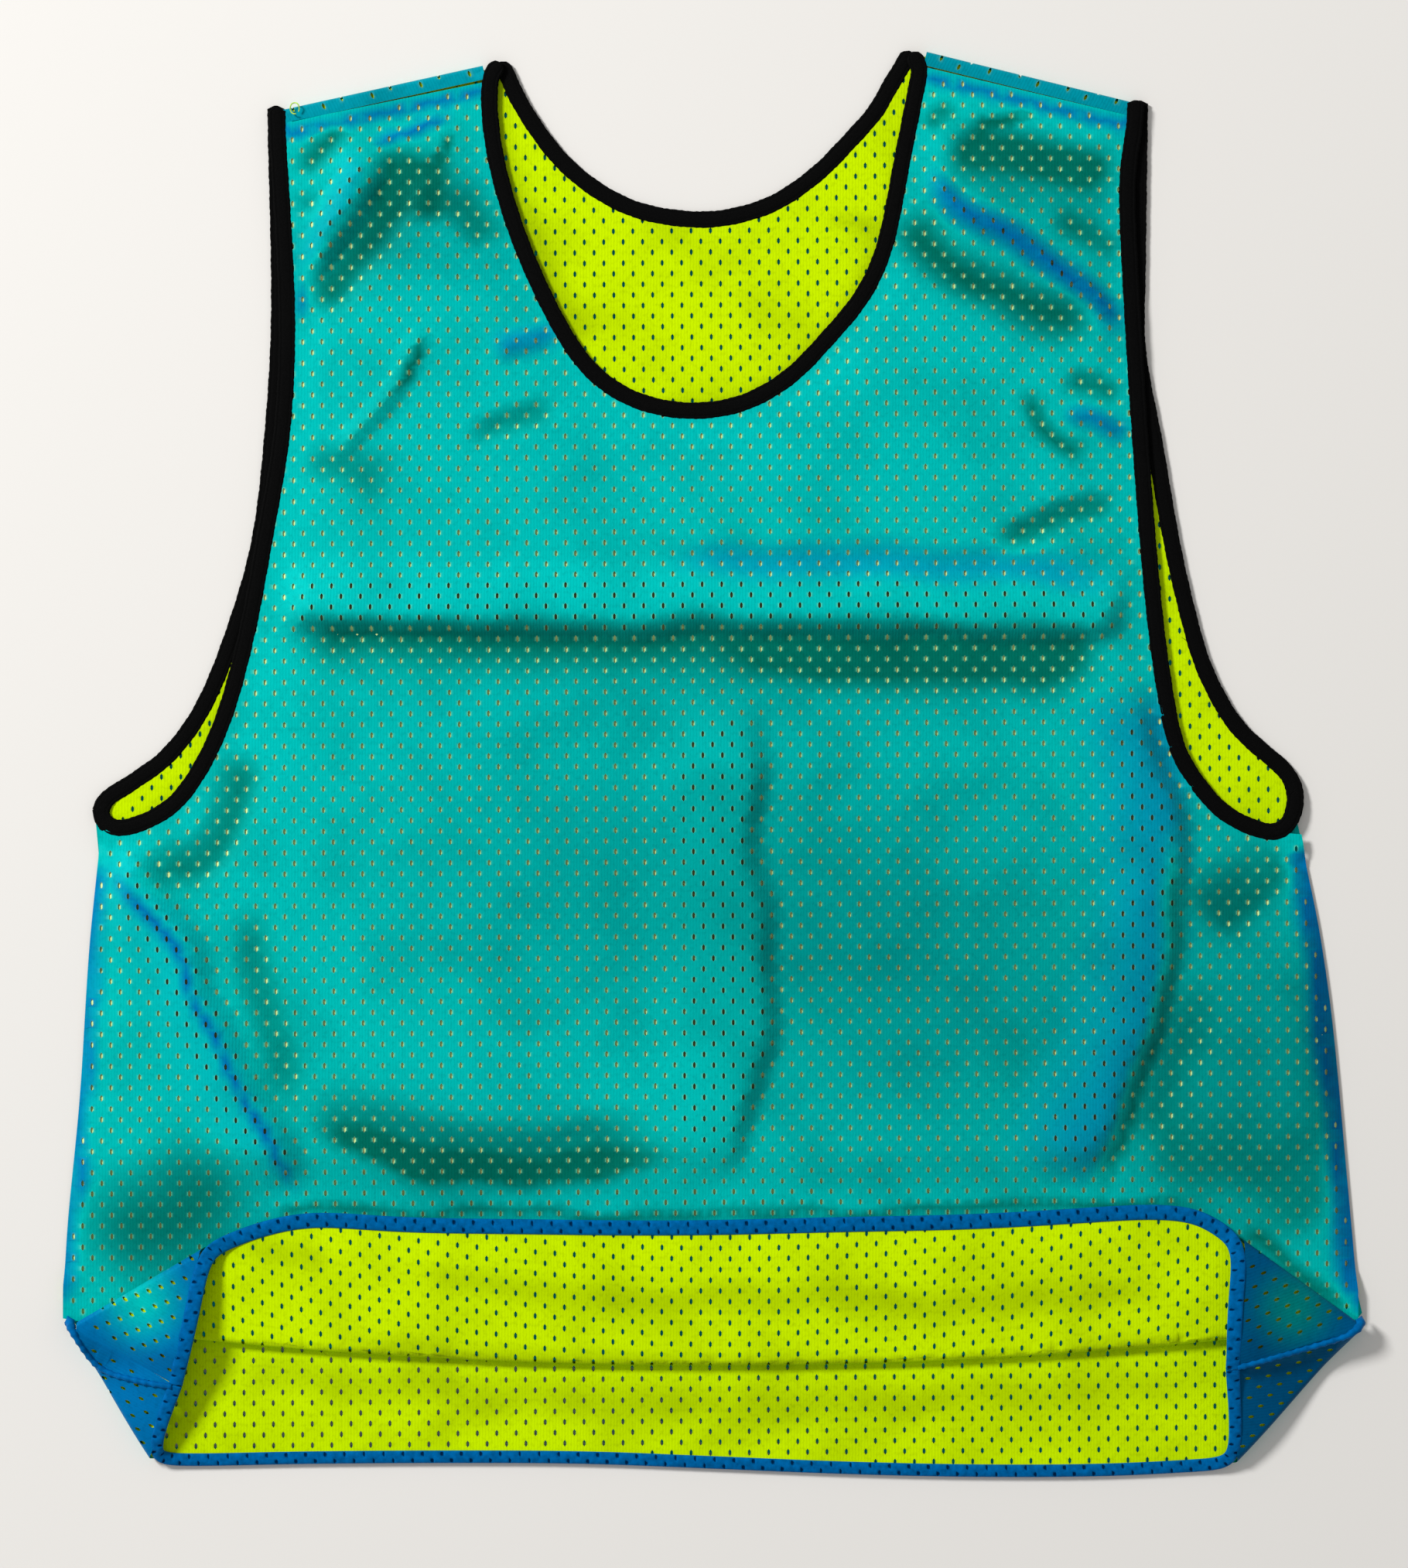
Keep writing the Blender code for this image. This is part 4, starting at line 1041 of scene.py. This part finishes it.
def noise_of(tree, place, scale, detail=3.0):
    """Noise of a place, at a scale in features for each metre."""
    node = tree.nodes.new("ShaderNodeTexNoise")
    node.inputs["Scale"].default_value = scale
    node.inputs["Detail"].default_value = detail
    tree.links.new(place, node.inputs["Vector"])
    return node.outputs["Fac"]


def bump_of(tree, height, depth, strength, shader):
    """Bump a surface by a height."""
    bump = tree.nodes.new("ShaderNodeBump")
    bump.inputs["Strength"].default_value = strength
    bump.inputs["Distance"].default_value = depth
    tree.links.new(height, bump.inputs["Height"])
    tree.links.new(bump.outputs["Normal"], shader.inputs["Normal"])


def darkened(tree, factor, colour, amount):
    """A colour made darker by a factor."""
    node = tree.nodes.new("ShaderNodeMix")
    node.data_type = "RGBA"
    node.blend_type = "MULTIPLY"
    tree.links.new(factor, node.inputs["Factor"])
    tree.links.new(colour, node.inputs["A"])
    node.inputs["B"].default_value = (amount, amount, amount, 1.0)
    return node.outputs["Result"]


def mesh_cloth(name, plain, hollow, raised, thread):
    """Knitted polyester: uneven colour, painted green shade in hollows, a raised colour where the tint is above 0,
    painted shade from the shade value, and a painted rim round each hole in the thread colour.
    """
    made, shader = cloth_nodes(name, 0.5, 0.16)
    tree = made.node_tree
    shader.inputs["Specular Tint"].default_value = (*[min(1.0, 2 * c) for c in plain], 1.0)
    place = attribute(tree, "pattern", "Vector")
    tint = attribute(tree, "tint")
    # The thread colour is painted round each hole's rim: a pale glow, painted light, on the teal and a dark edge,
    # painted shade, on the lime.
    power = tree.nodes.new("ShaderNodeMath")
    power.operation = "POWER"
    power.inputs[1].default_value = 12.0
    tree.links.new(attribute(tree, "rim"), power.inputs[0])
    # Painted shade: the hollow colour darkens the cloth where the tint is below 0.
    colour = mix(tree, scaled(tree, tint, 0.0, -1.0), plain, hollow)
    colour = mix(tree, power.outputs["Value"], colour, thread)
    # The raised colour where the tint is above 0: on the teal a bluer, darker colour, partly painted shade; on the
    # lime a paler colour, painted light.
    colour = mix(tree, scaled(tree, tint, 0.0, 1.0), colour, raised)
    speckle = scaled(tree, noise_of(tree, place, 420.0, 4.0), 0.5, 0.95)
    colour = darkened(tree, speckle, colour, 0.7)
    mottle = scaled(tree, noise_of(tree, place, 26.0), 0.45, 0.9)
    colour = darkened(tree, mottle, colour, 0.7)
    # Painted shade: darker where the shade value is higher.
    colour = darkened(tree, attribute(tree, "shade"), colour, 0.28)
    tree.links.new(colour, shader.inputs["Base Color"])
    knit = tree.nodes.new("ShaderNodeTexWave")
    knit.bands_direction = "X"
    knit.inputs["Scale"].default_value = 210.0
    knit.inputs["Distortion"].default_value = 2.5
    knit.inputs["Detail Scale"].default_value = 3.0
    tree.links.new(place, knit.inputs["Vector"])
    bump_of(tree, knit.outputs["Fac"], 0.00025, 0.2, shader)
    return made


def hem_cloth(name, colour, dark):
    """The turned hem: the same mesh cloth rolled, with painted shade inside its holes."""
    made, shader = cloth_nodes(name, 0.5, 0.15)
    tree = made.node_tree
    shader.inputs["Specular Tint"].default_value = (*[min(1.0, 2 * c) for c in colour], 1.0)
    place = tree.nodes.new("ShaderNodeTexCoord").outputs["Object"]
    shade = mix(tree, scaled(tree, noise_of(tree, place, 350.0, 4.0), 0.35, 0.75), colour, tuple(0.6 * c for c in colour))
    # Painted shade inside the dimpled holes.
    shade = mix(tree, scaled(tree, attribute(tree, "hollow"), 0.15, 0.6), shade, dark)
    tree.links.new(shade, shader.inputs["Base Color"])
    bump_of(tree, noise_of(tree, place, 900.0), 0.0003, 0.3, shader)
    return made


def tape_cloth(name, colour):
    """A closely knitted matt tape."""
    made, shader = cloth_nodes(name, 0.9, 0.04)
    tree = made.node_tree
    place = tree.nodes.new("ShaderNodeTexCoord").outputs["Object"]
    grain = noise_of(tree, place, 1300.0, 5.0)
    shade = mix(tree, grain, tuple(0.5 * c for c in colour), tuple(1.8 * c for c in colour))
    tree.links.new(shade, shader.inputs["Base Color"])
    bump_of(tree, grain, 0.0003, 0.5, shader)
    return made


def ready(piece, slot, *nodes):
    """Fix a piece to the frame, in the place of the solids it stands for."""
    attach(piece, "root")
    if nodes:
        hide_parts(*nodes)
    return piece


def patch_share(points):
    """1 in the middle of the teal patches of the folded corners, 0 outside them."""
    share = np.zeros(len(points))
    for across, along, radius in CORNER_PATCHES:
        share += 1 - smoothstep(np.hypot(points[:, 0] - across, points[:, 1] - along) / radius)
    return share


def corner_tint(points, lifted):
    """Blue for the folded corners, partly painted shade, with a soft patch of teal on each, and their painted shade.
    """
    tint = lifted * (1 - patch_share(points))
    shade = np.zeros(len(points))
    for side, sign in SIDES:
        shade[lifted & (points[:, 0] * sign > 0)] = CORNER_SHADES[side]
    return tint, shade


def press_seams(points, folded, inset):
    """Press folded points together along the side seams, and draw them in by an inset there."""
    for side, sign in SIDES:
        line = as_array(smooth(SIDE_SEAM[side]))
        length = np.hypot(*np.diff(line, axis=0).T).sum()
        _, gap, _, along = nearest_on_line(points[:, :2], line)
        share = (1 - smoothstep(gap / SEAM_PRESS_REACH)) * smoothstep((length - along) / SEAM_PRESS_END)
        folded[:, 2] *= 1 - SEAM_PRESS * share
        folded[:, 0] -= sign * inset * share


def place_front(points, edges, body_rise):
    """Fold flat points of the front, its body raised by its creases and by an even rise."""
    folded = fold_front(points)
    lifted = folded[:, 2] > FLAP_TOP_Z
    tint, shade = corner_tint(folded, lifted)
    body = points[:, 1] > hem_axis_y(points[:, 0])
    lift, tint[body] = crease_lift(points[body, :2], edges)
    # Painted shade from the soft patches on the body.
    shade[body] = base_shade(points[body])
    folded[body] = points[body]
    folded[body, 2] += lift + body_rise * smoothstep((points[body, 1] - CREASE_END_Y) / FLAP_FADE)
    flap = (points[:, 1] < hem_axis_y(points[:, 0]) - FOLD_ARC) & ~lifted
    _, gap, _, _ = nearest_on_line(points[flap, :2], np.vstack((edges, edges[:1])))
    folded[flap, 2] += waves(points[flap], FLAP_WAVE, 4.0) * smoothstep(gap / FLAP_WAVE_MARGIN)
    press_seams(points, folded, SEAM_LINING_INSET if body_rise else 0.0)
    return folded, tint, shade


def place_lining(points, edges):
    """Fold flat points of the front's lining, close under the outer mesh, painted pale as if lit where the outer
    mesh covers it, and with painted shade on the flap and under the folded corners.
    """
    folded, _, _ = place_front(points, edges, LINING_RISE)
    body = points[:, 1] > hem_axis_y(points[:, 0])
    folded[body, 2] -= (folded[body, 2] - points[body, 2]) * LINING_SAG
    shade = np.zeros(len(points))
    # Painted streaks of shade on the flap.
    shade[~body] = streaks(folded[~body, :2], FLAP_STREAKS)
    corner = folded[:, 2] > FLAP_TOP_Z + LAYER
    # Painted shade under the folded corners, lighter under their teal patches.
    shade[corner] = 1 - patch_share(folded[corner])
    # A tint of 1 gives the lining its pale painted light wherever the outer mesh's body covers it.
    return folded, body.astype(float), shade


def place_back(points):
    """Fold flat points of the back, its corners blue and the strips over the shoulders bluish, both partly painted
    shade.
    """
    folded = fold_back(points)
    tint, shade = corner_tint(folded, (folded[:, 2] > BACK_TOP_Z) & (folded[:, 1] < 0))
    strip = (points[:, 1] > 0) & (folded[:, 2] > SHOULDER_REACH)
    # Painted blue shade on the strips turned over the shoulders.
    tint[strip] = SHOULDER_TINT
    shade[strip] = SHOULDER_SHADE
    press_seams(points, folded, 0.0)
    return folded, tint, shade


def place_back_lining(points):
    """Fold flat points of the back's lining, shaded where it shows at the neck and below the fold."""
    folded = fold_back(points)
    shade = streaks(folded[:, :2], NECK_STREAKS + BOTTOM_STREAKS)
    press_seams(points, folded, SEAM_LINING_INSET)
    return folded, np.zeros(len(points)), shade


def build_cloth():
    """Every panel, hem and binding."""
    # Each mesh cloth: plain colour, painted green shade of hollows, the raised colour, and the colour painted round
    # the holes. The teal's raised blue is partly painted shade; the lime's pale raised colour is painted light.
    teal = mesh_cloth("outer_mesh", (0.0, 0.53, 0.49), (0.0, 0.17, 0.12), (0.0, 0.17, 0.46), (0.15, 0.78, 0.5))
    lime = mesh_cloth("lining_mesh", (0.63, 0.93, 0.0), (0.35, 0.70, 0.0), (0.80, 1.0, 0.42), (0.36, 0.62, 0.0))
    # The hem roll's darker colour is painted shade inside its holes.
    blue = hem_cloth("hem_roll", (0.0, 0.14, 0.42), (0.0, 0.015, 0.06))
    black = tape_cloth("binding", (0.0022, 0.0022, 0.0022))

    half = CLOTH / 2
    hem = front_hem()
    outline = front_outline(offset(hem, HEM_WIDTH - TUCK))
    edges = as_array(outline)
    front_outer = panel(
        "front_outer_mesh", outline, FRONT_OUTER_Z + half, lambda p: place_front(p, edges, 0.0),
        cut_front, 0.004, (0.0, 0.0), (), teal,
    )
    front_lining = panel(
        "front_lining_mesh", outline, FRONT_LINING_Z + half, lambda p: place_lining(p, edges),
        cut_front, 0.004, LINING_SHIFT, BARE, lime,
    )
    roll_z = FRONT_LINING_Z + LAYER - LAYER_GAP / 2
    hem_front = hem_roll("hem_front_roll", hem, roll_z, fold_front, FLAP_TOP_Z + CLOTH, "front", blue)

    hem = back_hem()
    outline = back_outline(offset(hem, HEM_WIDTH - TUCK))
    back_lining = panel(
        "back_lining_mesh", outline, BACK_LINING_Z + half, place_back_lining, cut_back, 0.008, (1.0, 2.0), BARE, lime
    )
    back_outer = panel(
        "back_outer_mesh", outline, BACK_OUTER_Z + half, place_back, cut_back, 0.0, (3.4, 0.6), (), teal
    )
    roll_z = BACK_OUTER_Z + LAYER - LAYER_GAP / 2
    hem_back = hem_roll("hem_back_roll", hem, roll_z, fold_back, BACK_TOP_Z + CLOTH, "back", blue)

    ready(front_outer, "outer_mesh", "front_outer")
    ready(front_lining, "lining_mesh", "front_lining")
    ready(back_outer, "outer_mesh", "back_outer")
    ready(back_lining, "lining_mesh", "back_lining")
    ready(hem_front, "hem_roll", "hem_front")
    ready(hem_back, "hem_roll", "hem_back")
    for side, _ in SIDES:
        ready(corner_cord(f"corner_seam_{side}", side, blue), "hem_roll", "front_outer")
    thread = hem_cloth("thread", (0.55, 0.85, 0.1), (0.3, 0.6, 0.05))
    ready(loose_thread("loose_thread", thread), "lining_mesh", "front_lining")
    build_bindings(black)


def loose_thread(name, finish):
    """A short loop of thread left where the shoulder seam meets the left armhole's binding."""
    angles = np.linspace(THREAD_START, THREAD_END, THREAD_STEPS)
    middle = np.column_stack((
        THREAD_PLACE[0] + THREAD_REACH[0] * np.cos(angles),
        THREAD_PLACE[1] + THREAD_REACH[1] * np.sin(angles),
        THREAD_PLACE[2] + 0.4 * np.sin(3 * angles),
    ))
    around = np.linspace(0.0, 2 * math.pi, 6, endpoint=False)
    ring = THREAD_RADIUS * np.column_stack((np.cos(around), np.sin(around)))
    return sweep(name, middle, np.tile(ring, (THREAD_STEPS, 1, 1)), finish)


def build_bindings(black):
    """The bindings of the armholes and the neck, in a back and a front strand each."""
    reach = SEAM_GAP + BINDING_WIDTH / 2
    for side, sign in SIDES:
        for face, table, low in (("back", ARMHOLE_BACK, BACK_OUTER_Z), ("front", ARMHOLE_FRONT, FRONT_LINING_Z)):
            edge = smooth(table[side])
            plan = offset([edge[0] + Vector((0, SHOULDER_SEAM_DROP))] + edge, reach * sign)
            pit = [Vector(p) for p in PITS[side, face]]
            plan = [p for p in plan if p.y > pit[0].y + PIT_CLEARANCE or abs(p.x) < abs(pit[0].x) - PIT_CLEARANCE]
            plan = smooth(plan[::2] + pit, TAPE_STEP)
            gaps = np.array([(p - pit[-1]).length for p in plan])
            heights = low + (PIT_HEIGHT - low) * (1 - smoothstep(gaps / PIT_RAMP))
            node = f"armhole_binding_{side}_{face}"
            ready(tape(node + "_tape", plan, heights, black, False, False), "binding", node)
    for node, table, low in NECK_STRANDS:
        edge = smooth(table)
        starts, ends = NECK_TOPS[node]
        middle = offset(edge, reach)
        plan = smooth([Vector(p) for p in starts] + middle[1:-1:2] + [Vector(p) for p in ends], TAPE_STEP)
        heights = np.full(len(plan), low)
        ready(tape(node + "_tape", plan, heights, black, True, True), "binding", node)


def build_stage():
    """A pale floor, soft light from the left, and the camera straight above."""
    reach = 3.0
    floor_data = bpy.data.meshes.new("floor")
    floor_data.from_pydata(
        [(-reach, -reach, 0), (reach, -reach, 0), (reach, reach, 0), (-reach, reach, 0)], [], [(0, 1, 2, 3)]
    )
    paper = bpy.data.materials.new("floor_paper")
    paper.use_nodes = True
    shader = paper.node_tree.nodes["Principled BSDF"]
    shader.inputs["Base Color"].default_value = (0.91, 0.885, 0.845, 1.0)
    shader.inputs["Roughness"].default_value = 0.95
    shader.inputs["Specular IOR Level"].default_value = 0.1
    floor_data.materials.append(paper)
    floor = bpy.data.objects.new("floor", floor_data)
    floor.location.z = -0.0003
    bpy.context.scene.collection.objects.link(floor)

    lamp_data = bpy.data.lights.new("window", "AREA")
    lamp_data.shape = "DISK"
    lamp_data.size = 1.05
    lamp_data.energy = 186.0
    lamp = bpy.data.objects.new("window", lamp_data)
    lamp.location = (-2.9, 2.15, 2.75)
    lamp.rotation_euler = (-lamp.location).to_track_quat("-Z", "Y").to_euler()
    bpy.context.scene.collection.objects.link(lamp)

    world = bpy.data.worlds.new("room")
    world.use_nodes = True
    world.node_tree.nodes["Background"].inputs["Color"].default_value = (1.0, 1.0, 1.0, 1.0)
    world.node_tree.nodes["Background"].inputs["Strength"].default_value = 0.36
    bpy.context.scene.world = world
    bpy.context.scene.view_settings.view_transform = "Standard"

    camera_data = bpy.data.cameras.new("camera")
    camera_data.sensor_width = SENSOR
    camera_data.lens = SENSOR * CAMERA_HEIGHT / FRAME_LENGTH
    camera = bpy.data.objects.new("camera", camera_data)
    camera.location = (*FRAME_CENTRE, CAMERA_HEIGHT)
    bpy.context.scene.collection.objects.link(camera)
    bpy.context.scene.camera = camera


build_cloth()
build_stage()
